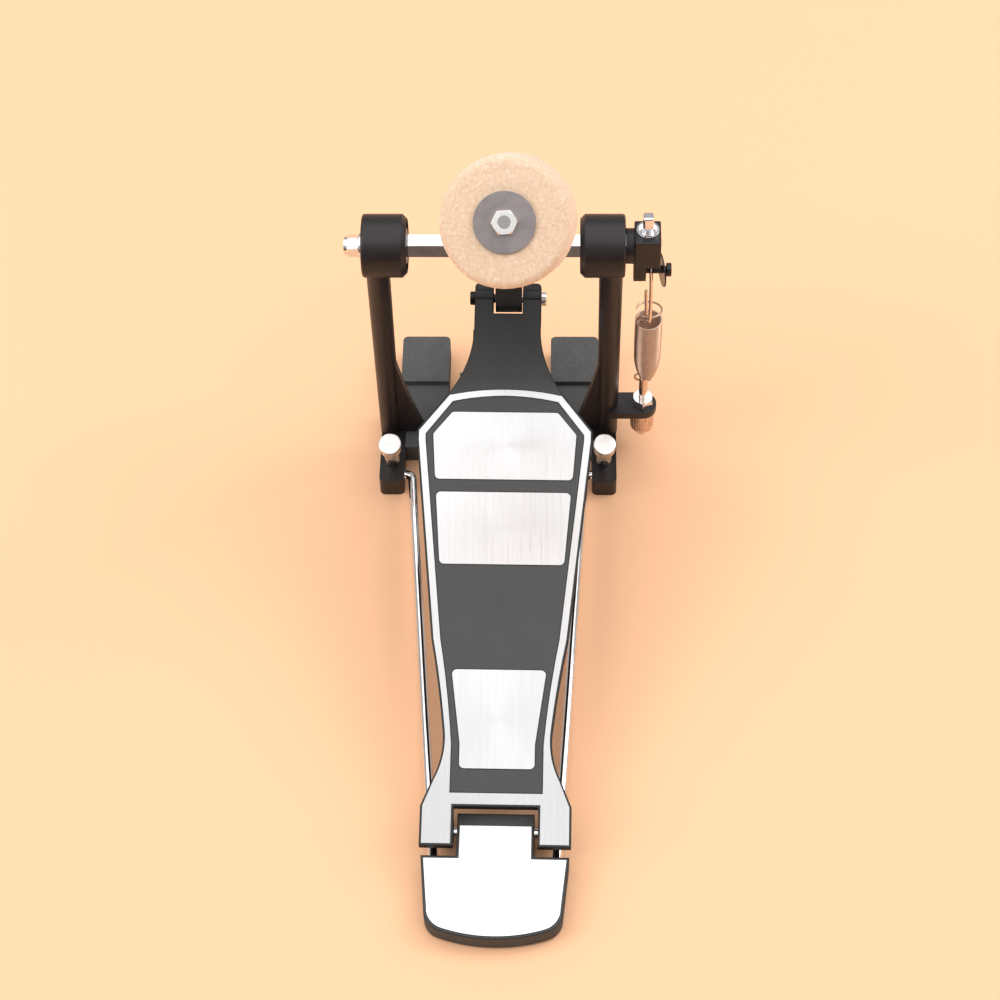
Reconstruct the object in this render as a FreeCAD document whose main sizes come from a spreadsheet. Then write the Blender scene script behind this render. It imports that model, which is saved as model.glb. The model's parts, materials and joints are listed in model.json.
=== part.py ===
import FreeCAD, Part
import math
import os
import re
import Sketcher
from FreeCAD import Placement, Rotation, Vector

# Bass drum pedal, in millimetres. The origin is on the floor straight under the middle of the hex shaft.
# X runs along the shaft, +Y points from the player to the drum and +Z points up.

SIZES = {
    # frame
    "axle_height": 161.8, "foot_inner": 52.0, "foot_outer": 65.6, "foot_near": -37.8, "foot_far": 20.0,
    "foot_height": 12.0, "base_near": -13.7, "crotch_far": 24.0, "prong_inner": 28.9, "prong_outer": 56.0,
    "prong_far": 65.0, "pad_near": 31.5, "pad_thick": 3.0, "corner_round": 3.0,
    "post_middle": 60.6, "post_foot_radius": 5.6, "post_head_radius": 6.3,
    "fin_thick": 5.0, "fin_top": 118.0, "fin_foot": 41.0, "fin_curve": 420.0,
    "housing_inner": 43.8, "housing_outer": 67.5, "housing_radius": 16.4, "housing_chamfer": 3.0,
    "housing_round": 1.4, "seat_radius": 14.0, "seat_floor": 51.8, "shoulder_radius": 9.8,
    "arm_middle": 79.9, "arm_radius": 7.6, "arm_top": 34.6, "arm_thick": 4.6,
    "base_screw_height": 6.0, "base_screw_near": -5.0, "base_screw_pitch": 17.0,
    "screw_radius": 2.5, "screw_head_radius": 4.2, "screw_head_deep": 5.0, "base_screw_tip": 44.0,
    # bearings
    "race_near": 45.8, "race_width": 5.8, "inner_race_radius": 8.0, "inner_race_wall": 1.6,
    "outer_race_wall": 1.5, "ball_radius": 1.4, "ball_circle": 11.05, "bush_flange": 9.2,
    # shaft and what is fixed on it
    "shaft_flats": 11.6, "shaft_left": -66.0, "shaft_right": 85.0, "stub_radius": 3.0, "stub_end": -77.2,
    "end_washer_radius": 6.6, "end_washer_thick": 1.2, "end_nut_flats": 10.2, "end_nut_thick": 6.2,
    "side_play": 0.4, "collar_radius": 9.2, "rocker_left": 72.1, "rocker_right": 85.6, "rocker_half": 8.1,
    "rocker_top": 10.2, "rocker_bottom": 8.6, "tab_right": 78.5, "tab_radius": 6.0, "rocker_arm": 18.0,
    "key_screw_radius": 3.0, "key_ring_radius": 5.8, "key_ring_bore": 4.7, "key_ring_thick": 2.2,
    "key_head_side": 5.6, "key_head_tall": 8.2, "key_head_edge": 1.2, "key_neck": 4.0,
    "rocker_pin_radius": 2.0, "rocker_pin_end": 91.8, "rocker_head_radius": 3.6, "rocker_head_thick": 2.8,
    "disc_radius": 9.2, "disc_thick": 0.8, "disc_left": 86.4, "disc_tilt": 11.0,
    # beater hub and strap
    "lean": 43.5, "hub_x": 9.4, "rod_offset": 12.5, "hub_radius": 12.0, "hub_half": 13.0, "cam_radius": 20.0,
    "cam_half": 10.0, "rod_radius": 4.75, "rod_below": 9.0, "clamp_boss_radius": 5.4, "clamp_boss_end": 15.0,
    "strap_x": 6.6, "strap_thick": 2.4, "strap_lift": 0.1, "strap_half": 7.1, "wrap_start": 27.0,
    "wrap_end": 66.0, "run_arc": 22.0, "strap_eye_radius": 7.4, "strap_eye_bore": 4.0,
    "strap_screw_angle": 58.0, "strap_screw_radius": 1.5, "strap_screw_deep": 1.8,
    "strap_screw_head_radius": 2.5, "strap_screw_head_thick": 1.6,
    # beater
    "head_outer": 170.0, "felt_radius": 29.8, "felt_thick": 28.0, "washer_radius": 14.0, "washer_thick": 1.4,
    "thread_radius": 3.0, "beater_nut_flats": 10.6, "beater_nut_thick": 5.2,
    # spring group
    "spring_x": 81.2, "hook_wire": 0.95, "hook_play": 0.1, "hook_foot_play": 1.0,
    "spring_radius": 7.3, "spring_wall": 1.5, "spring_bottom": 58.6, "spring_taper_top": 77.0,
    "spring_top": 105.4, "spring_foot_radius": 4.2, "spring_ring_height": 112.4, "spring_ring_tilt": 10.5,
    "spring_riser_gap": 0.3, "spring_riser_radius": 0.62, "bolt_radius": 2.4, "bolt_low": 9.0,
    "bolt_top": 57.4, "bolt_eye_height": 54.4, "bolt_eye_radius": 1.1, "lock_nut_flats": 10.4,
    "lock_nut_thick": 5.6, "nut_edge": 0.8, "knob_radius": 6.5, "knob_thick": 15.8, "knob_knurls": 24,
    # how far the heel and the footboard sit to the right, and how far they are turned about the upright
    "pedal_x": 6.05, "pedal_turn": 0.7,
    # heel and the two wire rods
    "pivot_back": -258.0, "pivot_height": 11.0, "pivot_radius": 2.5, "pivot_half": 28.6,
    "heel_half": 36.9, "heel_back_half": 34.3, "heel_shoulder": -272.6, "heel_back": -316.3,
    "heel_curve": 80.0, "heel_turn": 26.9, "heel_corner": 11.0, "heel_corner_rise": 10.4,
    "tongue_half": 19.3, "tongue_front": -249.6, "heel_tall": 15.2, "heel_slope": 5.0, "heel_sole": 1.6,
    "tread_edge": 1.4, "tread_thick": 0.7, "tread_proud": 0.25, "tread_front": -256.2,
    "wire_radius": 2.5, "wire_front_half": 47.6, "wire_front": -30.0, "wire_height": 8.0,
    "wire_back_half": 30.6, "wire_bend": 4.0, "wire_into": 7.0,
    # footboard, along the board from its heel end
    "board_pitch": 16.0, "board_back": -270.0, "board_height": 19.0, "board_thick": 5.6,
    "lug_inner": 21.1, "lug_outer": 37.7, "lug_length": 20.0, "flare_at": 33.0, "flare_half": 32.4,
    "waist_at": 60.0, "waist_half": 27.8, "side_at": 107.0, "side_half": 34.9, "shoulder_at": 217.0,
    "shoulder_half": 46.2, "crown_low": 222.5, "crown_high": 243.4, "crown_half": 30.2, "crown_top": 246.8,
    "neck_half": 17.8, "neck_at": 284.0, "neck_curve": 66.0, "side_curve": 560.0, "flare_curve": 46.0,
    "ear_depth": 10.6, "ear_back": 287.0, "ear_radius": 5.8, "slot_half": 7.9, "slot_bottom": 290.3,
    "toe_end": 308.2, "toe_at": 301.5, "toe_depth": 5.0, "toe_radius": 2.4, "toe_half": 20.6,
    "toe_head_radius": 3.7, "toe_head_thick": 1.0, "toe_round": 2.4,
    "lug_ear_outer": 27.8, "lug_ear_radius": 4.9, "rib_half": 1.6, "rib_deep": 3.6,
    "rib_across": 17.0, "rib_from": 40.0, "rib_to": 272.0,
    "inlay_thick": 0.8, "inlay_proud": 0.2, "border_edge": 1.1, "border_wide": 3.4, "border_bar": 6.8,
    "crown_curve": 131.0, "panel_low_half": 35.9, "panel_wide_half": 37.6, "panel_top_half": 27.8,
    "upper_low": 194.7, "upper_bend": 220.2, "upper_high": 232.7, "middle_low_half": 32.1,
    "middle_high_half": 35.2, "middle_low": 147.7, "middle_high": 187.5, "lower_low_half": 18.9,
    "lower_high_half": 24.1, "lower_low": 39.4, "lower_bend": 52.0, "lower_high": 91.0, "panel_round": 2.5,
    # hoop clamp
    "jaw_half": 15.0, "jaw_pivot_far": 12.0, "jaw_pivot_height": 30.0, "jaw_pin_radius": 3.0,
    "jaw_lug_half": 21.6, "jaw_lug_near": 4.5, "jaw_lug_deep": 15.0, "jaw_lug_top": 37.0, "jaw_gap": 0.4,
    "jaw_rear": -14.0, "jaw_nose": 53.0, "jaw_nose_low": 29.2, "jaw_nose_high": 35.0,
    "jaw_pad_thick": 2.2, "jaw_pad_near": 36.0, "jaw_top": 38.0, "jaw_rear_low": 24.0,
    "clamp_at": -6.0, "clamp_radius": 3.4, "clamp_low": 12.4, "clamp_high": 50.0, "wing_half": 16.0,
    "wing_tall": 11.0, "wing_thick": 3.2, "clamp_hub_radius": 6.0,
    # spur screws in the feet
    "spur_x": 58.6, "spur_lean": 18.0, "spur_head_back": -30.0, "spur_head_height": 33.8,
    "spur_head_radius": 6.1, "spur_head_tall": 6.6, "spur_radius": 4.1, "spur_play": 0.1, "spur_length": 36.5,
    "spur_point": 5.0,
    # small edges
    "key_edge": 0.6, "stub_tip": 0.6, "slip": 0.05,
}

doc = FreeCAD.newDocument("bass_drum_pedal")
sheet = doc.addObject("Spreadsheet::Sheet", "dims")
for row, (alias, value) in enumerate(SIZES.items(), 1):
    sheet.set(f"A{row}", alias)
    sheet.set(f"B{row}", str(value))
    sheet.setAlias(f"B{row}", alias)
doc.recompute()

WORD = re.compile(r"[a-z][a-z_]*")
ALONG_X = Rotation(Vector(0, 1, 0), 90)
UPRIGHT_SIDE = Rotation(Vector(1, 1, 1), 120)   # a plan drawn in X, Y stands up as Y, Z and grows along X
nodes = {}


def cell(alias):
    """The value of one spreadsheet cell."""
    return float(sheet.get(alias))


def formula(text):
    """An expression on the spreadsheet, from a sum written with the cells' plain names."""
    return WORD.sub(lambda word: "dims." + word[0] if word[0] in SIZES else word[0], str(text))


def worth(text):
    """The value that a sum of cells has now."""
    names = {word: cell(word) for word in WORD.findall(str(text)) if word in SIZES}
    value = str(text)
    for word in sorted(names, key=len, reverse=True):
        value = re.sub(rf"\b{word}\b", repr(names[word]), value)
    return float(FreeCAD.Units.Quantity(value).Value)


def bind(item, **sums):
    """Ties properties of an object to sums of cells. Two underscores stand for a dot."""
    for name, text in sums.items():
        item.setExpression(name.replace("__", "."), formula(text))
    return item


def put(item, x="0", y="0", z="0", turn=Rotation()):
    """Turns an object and ties where it stands to sums of cells."""
    item.Placement = Placement(Vector(), turn)
    bind(item, Placement__Base__x=x, Placement__Base__y=y, Placement__Base__z=z)
    return item


def made(kind, name, **sums):
    return bind(doc.addObject(kind, name), **sums)


def box(name, x, y, z, **sizes):
    """A block from the corner x, y, z."""
    return put(made("Part::Box", name, **sizes), x, y, z)


def span(name, x, y, z):
    """A block between pairs of sums along X, Y and Z."""
    sizes = [f"({high}) - ({low})" for low, high in (x, y, z)]
    return box(name, x[0], y[0], z[0], Length=sizes[0], Width=sizes[1], Height=sizes[2])


def bar(name, radius, left, right, y="0", z="0"):
    """A round bar along X."""
    item = made("Part::Cylinder", name, Radius=radius, Height=f"({right}) - ({left})")
    return put(item, left, y, z, ALONG_X)


def post(name, radius, low, high, x="0", y="0"):
    """A round bar along Z."""
    item = made("Part::Cylinder", name, Radius=radius, Height=f"({high}) - ({low})")
    return put(item, x, y, low)


def hexagon(name, flats, length):
    return bind(made("Part::Prism", name, Circumradius=f"({flats}) / sqrt(3)", Height=length), Polygon="6")


def nut(name, flats, thick, place):
    """A hexagonal nut with its corners turned off at both ends. place puts each part where it stands."""
    prism = place(hexagon(name + "_hexagon", flats, thick))
    blank = place(made("Part::Cylinder", name + "_blank", Radius=f"({flats}) / sqrt(3)", Height=thick))
    turned = soften(name + "_turned", blank, "nut_edge", lambda edge: len(edge.Vertexes) == 1,
                    "Part::Chamfer")
    crowned = doc.addObject("Part::Common", name + "_crowned")
    crowned.Base = prism
    crowned.Tool = turned
    return crowned


def fuse(name, *items):
    item = doc.addObject("Part::MultiFuse", name)
    item.Shapes = list(items)
    return item


def cut(name, base, *tools):
    item = doc.addObject("Part::Cut", name)
    item.Base = base
    item.Tool = tools[0] if len(tools) == 1 else fuse(name + "_tools", *tools)
    return item


def group(name, *items):
    """Several loose solids as one sub-part."""
    item = doc.addObject("Part::Compound", name)
    item.Links = list(items)
    return item


def soften(name, base, radius, pick, kind="Part::Fillet"):
    """Rounds or chamfers the edges of a solid that pick chooses."""
    doc.recompute()
    item = doc.addObject(kind, name)
    item.Base = base
    size = cell(radius)
    chosen = [number for number, edge in enumerate(base.Shape.Edges, 1) if pick(edge)]
    item.Edges = [(number, size, size) for number in chosen]
    return item


def keep(node, item):
    """Names an object as one sub-part, which is written to its own file."""
    item.Label = node
    nodes[node] = item
    return item


def leaning(item, x="0", across="0", along="0", turn=Rotation()):
    """Places an object in the hub's own frame, which leans back with the beater rod about the shaft."""
    lean_turn = Rotation(Vector(1, 0, 0), cell("lean"))
    y = f"({across}) * cos(lean * 1deg) - ({along}) * sin(lean * 1deg)"
    z = f"axle_height + ({across}) * sin(lean * 1deg) + ({along}) * cos(lean * 1deg)"
    return put(item, x, y, z, lean_turn * turn)


def on_board(item, x="0", along="0", above="0", turn=Rotation()):
    """Places an object in the footboard's own frame, which slopes up from the heel."""
    pitch = Rotation(Vector(1, 0, 0), cell("board_pitch"))
    y = f"board_back + ({along}) * cos(board_pitch * 1deg) - ({above}) * sin(board_pitch * 1deg)"
    z = f"board_height + ({along}) * sin(board_pitch * 1deg) + ({above}) * cos(board_pitch * 1deg)"
    return put(item, x, y, z, pitch * turn)


# Sketched plates. An outline is a list of corners, and a corner may carry the radius of the arc up to it.


def arc_between(start, end, radius, left):
    """The arc from start to end, with its centre on the left or right of the way."""
    chord = end - start
    middle = (start + end) * 0.5
    side = Vector(-chord.y, chord.x, 0).normalize() * (1 if left else -1)
    centre = middle + side * math.sqrt(radius ** 2 - (chord.Length / 2) ** 2)
    top = centre + (middle - centre).normalize() * radius
    return Part.Arc(start, top, end)


def draw(sketch, corners):
    """Draws a closed outline, with each corner's place and each arc's radius tied to the spreadsheet."""
    count = len(corners)
    places = [Vector(worth(corner[0]), worth(corner[1]), 0) for corner in corners]
    first = sketch.GeometryCount
    for index, corner in enumerate(corners):
        start, end = places[index - 1], places[index]
        if len(corner) > 2:
            sketch.addGeometry(arc_between(start, end, cell(corner[2]), corner[3] == "left"), False)
        else:
            sketch.addGeometry(Part.LineSegment(start, end), False)
    for index in range(count):
        joined(sketch, first + index, first + (index + 1) % count, places[index])
    for index, corner in enumerate(corners):
        point = end_point(sketch, first + index, places[index])
        for kind, text in (("DistanceX", corner[0]), ("DistanceY", corner[1])):
            value = worth(text)
            if abs(value) < 1e-9:
                axis = -2 if kind == "DistanceX" else -1
                sketch.addConstraint(Sketcher.Constraint("PointOnObject", first + index, point, axis))
                continue
            number = sketch.addConstraint(
                Sketcher.Constraint(kind, -1, 1, first + index, point, value))
            sketch.setExpression(f"Constraints[{number}]", formula(text))
        if len(corner) > 2:
            number = sketch.addConstraint(Sketcher.Constraint("Radius", first + index, cell(corner[2])))
            sketch.setExpression(f"Constraints[{number}]", formula(corner[2]))


def end_point(sketch, geometry, place):
    """Which end of a line or arc lies at a place: 1 for its start or 2 for its end."""
    return 1 if (sketch.getPoint(geometry, 1) - place).Length < 1e-6 else 2


def joined(sketch, one, other, place):
    ends = (end_point(sketch, one, place), end_point(sketch, other, place))
    sketch.addConstraint(Sketcher.Constraint("Coincident", one, ends[0], other, ends[1]))


def sketch_on(body, name, outlines, height="0"):
    plane = next(item for item in body.Origin.OriginFeatures if item.Role == "XY_Plane")
    sketch = body.newObject("Sketcher::SketchObject", name)
    sketch.AttachmentSupport = [(plane, "")]
    sketch.MapMode = "FlatFace"
    sketch.setExpression("AttachmentOffset.Base.z", formula(height))
    for outline in outlines:
        draw(sketch, outline)
    return sketch


def plate(name, outlines, thick, low="0"):
    """A body that is one outline, and any holes in it, grown upwards from a height."""
    body = doc.addObject("PartDesign::Body", name)
    sketch = sketch_on(body, name + "_plan", outlines, low)
    pad = body.newObject("PartDesign::Pad", name + "_pad")
    pad.Profile = sketch
    bind(pad, Length=thick)
    doc.recompute()
    return body


def round_edges(body, name, radius, pick):
    """Rounds the edges of a body that pick chooses."""
    solid = body.Tip
    edges = [f"Edge{number}" for number, edge in enumerate(solid.Shape.Edges, 1) if pick(edge)]
    fillet = body.newObject("PartDesign::Fillet", name)
    fillet.Base = (solid, edges)
    bind(fillet, Radius=radius)
    doc.recompute()
    return fillet


def both_sides(half):
    """A closed outline from its right half, which is listed from the near end to the far end."""
    left = []
    arcs = [corner[2:] for corner in half]
    for index in range(len(half) - 1, -1, -1):
        x, y = half[index][:2]
        if worth(x) == 0:
            continue
        after = arcs[index + 1] if index + 1 < len(half) else ()
        left.append((f"-({x})", y) + after)
    return list(half) + left


def upright_edge(edge):
    """Whether an edge is a straight upright one."""
    ends = [vertex.Point for vertex in edge.Vertexes]
    if len(ends) != 2:
        return False
    rise = abs(ends[0].z - ends[1].z)
    return rise > 0.5 and (ends[0] - ends[1]).Length < rise + 1e-6


# The cast frame: a forked base, two uprights with their feet, and the screws that join them.


def base_casting():
    """The cross member between the feet, with two prongs that reach under the drum hoop."""
    plan = both_sides([
        ("0", "base_near"), ("foot_inner", "base_near"), ("foot_inner", "foot_far"),
        ("prong_outer", "foot_far"), ("prong_outer", "prong_far"), ("prong_inner", "prong_far"),
        ("prong_inner", "crotch_far"), ("0", "crotch_far")])
    body = plate("base_plate", [plan], "foot_height")
    round_edges(body, "prong_corners", "corner_round",
                lambda edge: upright_edge(edge) and edge.CenterOfMass.y > cell("foot_far") + 1)
    lugs = []
    for side, left in (("left", "-jaw_lug_half"), ("right", "jaw_half + jaw_gap")):
        right = "-(jaw_half + jaw_gap)" if side == "left" else "jaw_lug_half"
        lugs.append(span(side + "_jaw_lug", (left, right), ("jaw_lug_near", "jaw_lug_near + jaw_lug_deep"),
                         ("foot_height - 1", "jaw_lug_top")))
    solid = fuse("base_with_lugs", body, *lugs)
    pin_hole = bar("jaw_pin_hole", "jaw_pin_radius", "-jaw_lug_half - 1", "jaw_lug_half + 1",
                   "jaw_pivot_far", "jaw_pivot_height")
    holes = [bar(f"base_thread_{x}_{number}", "screw_radius", left, right, at, "base_screw_height")
             for x, left, right in (("left", "-foot_inner - 1", "-base_screw_tip"),
                                    ("right", "base_screw_tip", "foot_inner + 1"))
             for number, at in enumerate(("base_screw_near", "base_screw_near + base_screw_pitch"))]
    keep("base_casting", cut("base_casting", solid, pin_hole, *holes))


def hoop_pads():
    """A rubber pad on top of each prong, which the drum hoop stands on."""
    pads = []
    for side, inner, outer in (("left", "-prong_outer", "-prong_inner"),
                               ("right", "prong_inner", "prong_outer")):
        pad = span(side + "_pad_block", (inner, outer), ("pad_near", "prong_far"),
                   ("foot_height", "foot_height + pad_thick"))
        pads.append(soften(side + "_hoop_pad", pad, "corner_round",
                           lambda edge: upright_edge(edge) and edge.CenterOfMass.y > cell("pad_near") + 1))
    keep("hoop_pads", group("hoop_pads", *pads))


def fin(side, sign):
    """The web between a post and the base, with a hollow curved edge."""
    start = Vector(cell("post_middle"), 0, cell("fin_top"))
    end = Vector(cell("fin_foot"), 0, cell("foot_height"))
    chord = end - start
    hollow = Vector(-chord.z, 0, chord.x).normalize()
    if hollow.x > 0:
        hollow = -hollow
    sag = cell("fin_curve") - math.sqrt(cell("fin_curve") ** 2 - (chord.Length / 2) ** 2)
    bottom = Vector(cell("post_middle"), 0, cell("foot_height"))
    outline = Part.Wire([
        Part.Arc(start, (start + end) * 0.5 - hollow * sag, end).toShape(),
        Part.makeLine(end, bottom), Part.makeLine(bottom, start)])
    item = doc.addObject("Part::Feature", side + "_fin")
    web = Part.Face(outline).extrude(Vector(0, cell("fin_thick"), 0))
    web.translate(Vector(0, -cell("fin_thick") / 2, 0))
    item.Shape = web if sign > 0 else web.mirror(Vector(), Vector(1, 0, 0))
    return item


def spur_axis():
    """The turn that lays an upright screw along a spur, whose head leans back to the player."""
    return Rotation(Vector(1, 0, 0), cell("spur_lean"))


def sided(sign, text):
    return text if sign > 0 else f"-({text})"


def x_range(sign, low, high):
    """The pair of sums from low to high on the right, and its mirror image on the left."""
    return (low, high) if sign > 0 else (f"-({high})", f"-({low})")


def upright(side, sign):
    """One foot, its post and the bearing housing on top."""
    foot = span(side + "_foot_block", x_range(sign, "foot_inner", "foot_outer"), ("foot_near", "foot_far"),
                ("0", "foot_height"))
    foot = soften(side + "_foot", foot, "corner_round", upright_edge)
    column = made("Part::Cone", side + "_post", Radius1="post_foot_radius", Radius2="post_head_radius",
                  Height="axle_height - foot_height - 8")
    put(column, sided(sign, "post_middle"), "0", "foot_height - 1")
    barrel = bar(side + "_barrel", "housing_radius", *x_range(sign, "housing_inner", "housing_outer"),
                 "0", "axle_height")
    middle = (cell("housing_inner") + cell("housing_outer")) / 2
    barrel = soften(side + "_barrel_bevel", barrel, "housing_chamfer",
                    lambda edge: edge.CenterOfMass.x * sign < middle and len(edge.Vertexes) == 1,
                    "Part::Chamfer")
    outer = cell("housing_outer")
    barrel = soften(side + "_housing", barrel, "housing_round",
                    lambda edge: edge.CenterOfMass.x * sign > outer - 0.1 and len(edge.Vertexes) == 1)
    solids = [foot, column, barrel, fin(side, sign)]
    if sign > 0:
        solids += [span("arm_plate", ("post_middle", "arm_middle"), ("-arm_radius", "arm_radius"),
                        ("arm_top - arm_thick", "arm_top")),
                   post("arm_end", "arm_radius", "arm_top - arm_thick", "arm_top", "arm_middle")]
    holes = [bar(side + "_seat", "seat_radius", *x_range(sign, "housing_inner - 1", "seat_floor"),
                 "0", "axle_height"),
             bar(side + "_shaft_way", "shoulder_radius",
                 *x_range(sign, "seat_floor - 1", "housing_outer + 1"), "0", "axle_height")]
    spur_hole = made("Part::Cylinder", side + "_spur_thread", Radius="spur_radius + spur_play", Height="60")
    put(spur_hole, sided(sign, "spur_x"), "spur_head_back + 60 * sin(spur_lean * 1deg)",
        "spur_head_height - 60 * cos(spur_lean * 1deg)", spur_axis())
    holes.append(spur_hole)
    for number, at in enumerate(("base_screw_near", "base_screw_near + base_screw_pitch")):
        holes.append(bar(f"{side}_screw_way_{number}", "screw_radius",
                         *x_range(sign, "foot_inner - 1", "foot_outer + 1"), at, "base_screw_height"))
        holes.append(bar(f"{side}_screw_seat_{number}", "screw_head_radius",
                         *x_range(sign, "foot_outer - screw_head_deep", "foot_outer + 1"), at,
                         "base_screw_height"))
    if sign > 0:
        holes.append(post("arm_hole", "bolt_radius + side_play", "0", "arm_top + 1", "arm_middle"))
        holes[-1].setExpression("Placement.Base.z", formula("arm_top - arm_thick - 1"))
    solid = cut(side + "_upright", fuse(side + "_upright_solids", *solids), *holes)
    keep(side + "_upright", solid)


def base_screws():
    """Two socket screws through each foot into the base."""
    screws = []
    for side, sign in (("left", -1), ("right", 1)):
        for number, at in enumerate(("base_screw_near", "base_screw_near + base_screw_pitch")):
            name = f"{side}_base_screw_{number}"
            head = bar(name + "_head", "screw_head_radius",
                       *x_range(sign, "foot_outer - screw_head_deep", "foot_outer - 0.6"), at,
                       "base_screw_height")
            shank = bar(name + "_shank", "screw_radius",
                        *x_range(sign, "base_screw_tip", "foot_outer - screw_head_deep"), at,
                        "base_screw_height")
            socket = put(hexagon(name + "_socket", "screw_radius * 1.6", "4"),
                         sided(sign, "foot_outer - 3"), at, "base_screw_height",
                         ALONG_X if sign > 0 else Rotation(Vector(0, 1, 0), -90))
            screws.append(cut(name, fuse(name + "_solid", head, shank), socket))
    keep("base_screws", group("base_screws", *screws))


def bearings():
    """A ball bearing in each housing, with a hexagonal bush that carries the shaft."""
    for side, sign in (("left", -1), ("right", 1)):
        reach = x_range(sign, "race_near", "race_near + race_width")
        rings = (("bearing_outer_race", "seat_radius", "seat_radius - outer_race_wall"),
                 ("bearing_inner_race", "inner_race_radius + inner_race_wall", "inner_race_radius"))
        for ring, outer, inner in rings:
            name = f"{side}_{ring}"
            keep(name, cut(name, bar(name + "_blank", outer, *reach, "0", "axle_height"),
                           bar(name + "_bore", inner, *reach, "0", "axle_height")))
        balls = []
        for number in range(10):
            ball = made("Part::Sphere", f"{side}_ball_{number}", Radius="ball_radius")
            put(ball, sided(sign, "race_near + race_width / 2"), f"ball_circle * cos({36 * number} * 1deg)",
                f"axle_height + ball_circle * sin({36 * number} * 1deg)")
            balls.append(ball)
        keep(side + "_bearing_balls", group(side + "_bearing_balls", *balls))
        body = bar(side + "_bush_body", "inner_race_radius",
                   *x_range(sign, "race_near - 1.2", "housing_outer"), "0", "axle_height")
        flange = bar(side + "_bush_flange", "bush_flange", *x_range(sign, "race_near - 1.2", "race_near"),
                     "0", "axle_height")
        bore = hex_bar(side + "_bush_bore", "-80", "80")
        keep(side + "_hex_bush", cut(side + "_hex_bush", fuse(side + "_bush_solid", body, flange), bore))


def hex_bar(name, left, right):
    """A hexagonal bar along the shaft's axis, with a corner towards the beater rod."""
    return leaning(hexagon(name, "shaft_flats", f"({right}) - ({left})"), left, turn=ALONG_X)


def hex_shaft():
    stub = bar("shaft_stub", "stub_radius", "stub_end", "shaft_left", "0", "axle_height")
    stub = soften("shaft_stub_tip", stub, "stub_tip", lambda edge: len(edge.Vertexes) == 1
                  and edge.CenterOfMass.x < cell("stub_end") + 0.1, "Part::Chamfer")
    keep("hex_shaft", fuse("hex_shaft", hex_bar("shaft_bar", "shaft_left", "shaft_right"), stub))


def shaft_end():
    """The washer and the lock nut on the shaft's left end."""
    near = "-(housing_outer + side_play)"
    washer = bar("end_washer_blank", "end_washer_radius", f"{near} - end_washer_thick", near,
                 "0", "axle_height")
    stub = bar("end_washer_bore", "stub_radius", "stub_end", near, "0", "axle_height")
    keep("shaft_end_washer", cut("shaft_end_washer", washer, stub))
    start = f"{near} - end_washer_thick - end_nut_thick"
    blank = nut("end_nut", "end_nut_flats", "end_nut_thick",
                lambda item: put(item, start, "0", "axle_height", ALONG_X))
    dome = bar("end_nut_collar", "end_nut_flats / 2 - 0.4", f"{start} - 1.6", start, "0", "axle_height")
    bore = bar("end_nut_bore", "stub_radius", "stub_end - 3", near, "0", "axle_height")
    keep("shaft_end_nut", cut("shaft_end_nut", fuse("end_nut_solid", blank, dome), bore))
    ring = bar("collar_blank", "collar_radius", "housing_outer + side_play", "rocker_left",
               "0", "axle_height")
    keep("shaft_collar", cut("shaft_collar", ring, hex_bar("collar_bore", "0", "80")))


def rocker():
    """The block clamped on the shaft's right end, whose tab pulls on the spring."""
    block = span("rocker_body", ("rocker_left", "rocker_right"), ("-rocker_half", "rocker_half"),
                 ("axle_height - rocker_bottom", "axle_height + rocker_top"))
    block = soften("rocker_body_soft", block, "key_edge", lambda edge: True)
    tab = span("rocker_tab", ("rocker_left", "tab_right"), ("-tab_radius", "tab_radius"),
               ("axle_height - rocker_arm", "axle_height"))
    end = bar("rocker_tab_end", "tab_radius", "rocker_left", "tab_right", "0", "axle_height - rocker_arm")
    middle = "(rocker_left + rocker_right) / 2"
    top = "axle_height + rocker_top"
    key_hole = post("rocker_key_hole", "key_screw_radius", "axle_height", f"{top} + 1", middle)
    pin_hole = bar("rocker_pin_hole", "rocker_pin_radius", "rocker_left + 1", "tab_right + 1", "0",
                   "axle_height - rocker_arm")
    solid = cut("rocker_block", fuse("rocker_solid", block, tab, end), hex_bar("rocker_bore", "70", "90"),
                key_hole, pin_hole)
    keep("rocker_block", solid)
    ring = post("key_ring_blank", "key_ring_radius", top, f"{top} + key_ring_thick", middle)
    bore = post("key_ring_hole", "key_ring_bore", f"{top} + 0.6", f"{top} + key_ring_thick", middle)
    way = post("key_ring_way", "key_screw_radius", top, f"{top} + 1", middle)
    keep("rocker_screw_ring", cut("rocker_screw_ring", ring, bore, way))
    keep("rocker_key_screw", key_screw("rocker_key_screw", middle, "axle_height + 6.9", top))


def key_screw(name, x, low, seat):
    """A square-headed drum key screw that points down."""
    neck_top = f"{seat} + key_neck"
    shank = post(name + "_shank", "key_screw_radius", low, neck_top, x)
    head = box(name + "_block", f"{x} - key_head_side / 2", "-key_head_side / 2", neck_top,
               Length="key_head_side", Width="key_head_side", Height="key_head_tall")
    head = soften(name + "_head", head, "key_head_edge", lambda edge: True)
    return fuse(name, shank, head)


def rocker_pin():
    axis = ("0", "axle_height - rocker_arm")
    pin = bar("rocker_pin_shank", "rocker_pin_radius", "rocker_left + 1", "rocker_pin_end", *axis)
    head = bar("rocker_pin_button", "rocker_head_radius", "rocker_pin_end - rocker_head_thick",
               "rocker_pin_end", *axis)
    head = soften("rocker_pin_head", head, "key_edge", lambda edge: len(edge.Vertexes) == 1)
    keep("rocker_pin", fuse("rocker_pin", pin, head))
    tilt = Rotation(Vector(0, 0, 1), cell("disc_tilt")) * ALONG_X
    disc = put(made("Part::Cylinder", "disc_blank", Radius="disc_radius", Height="disc_thick"),
               "disc_left", *axis, tilt)
    hole = bar("disc_hole", "rocker_pin_radius", "tab_right", "rocker_pin_end", *axis)
    keep("rocker_pin_disc", cut("rocker_pin_disc", disc, hole))


# The hub on the shaft, the strap that it pulls and the beater


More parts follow.
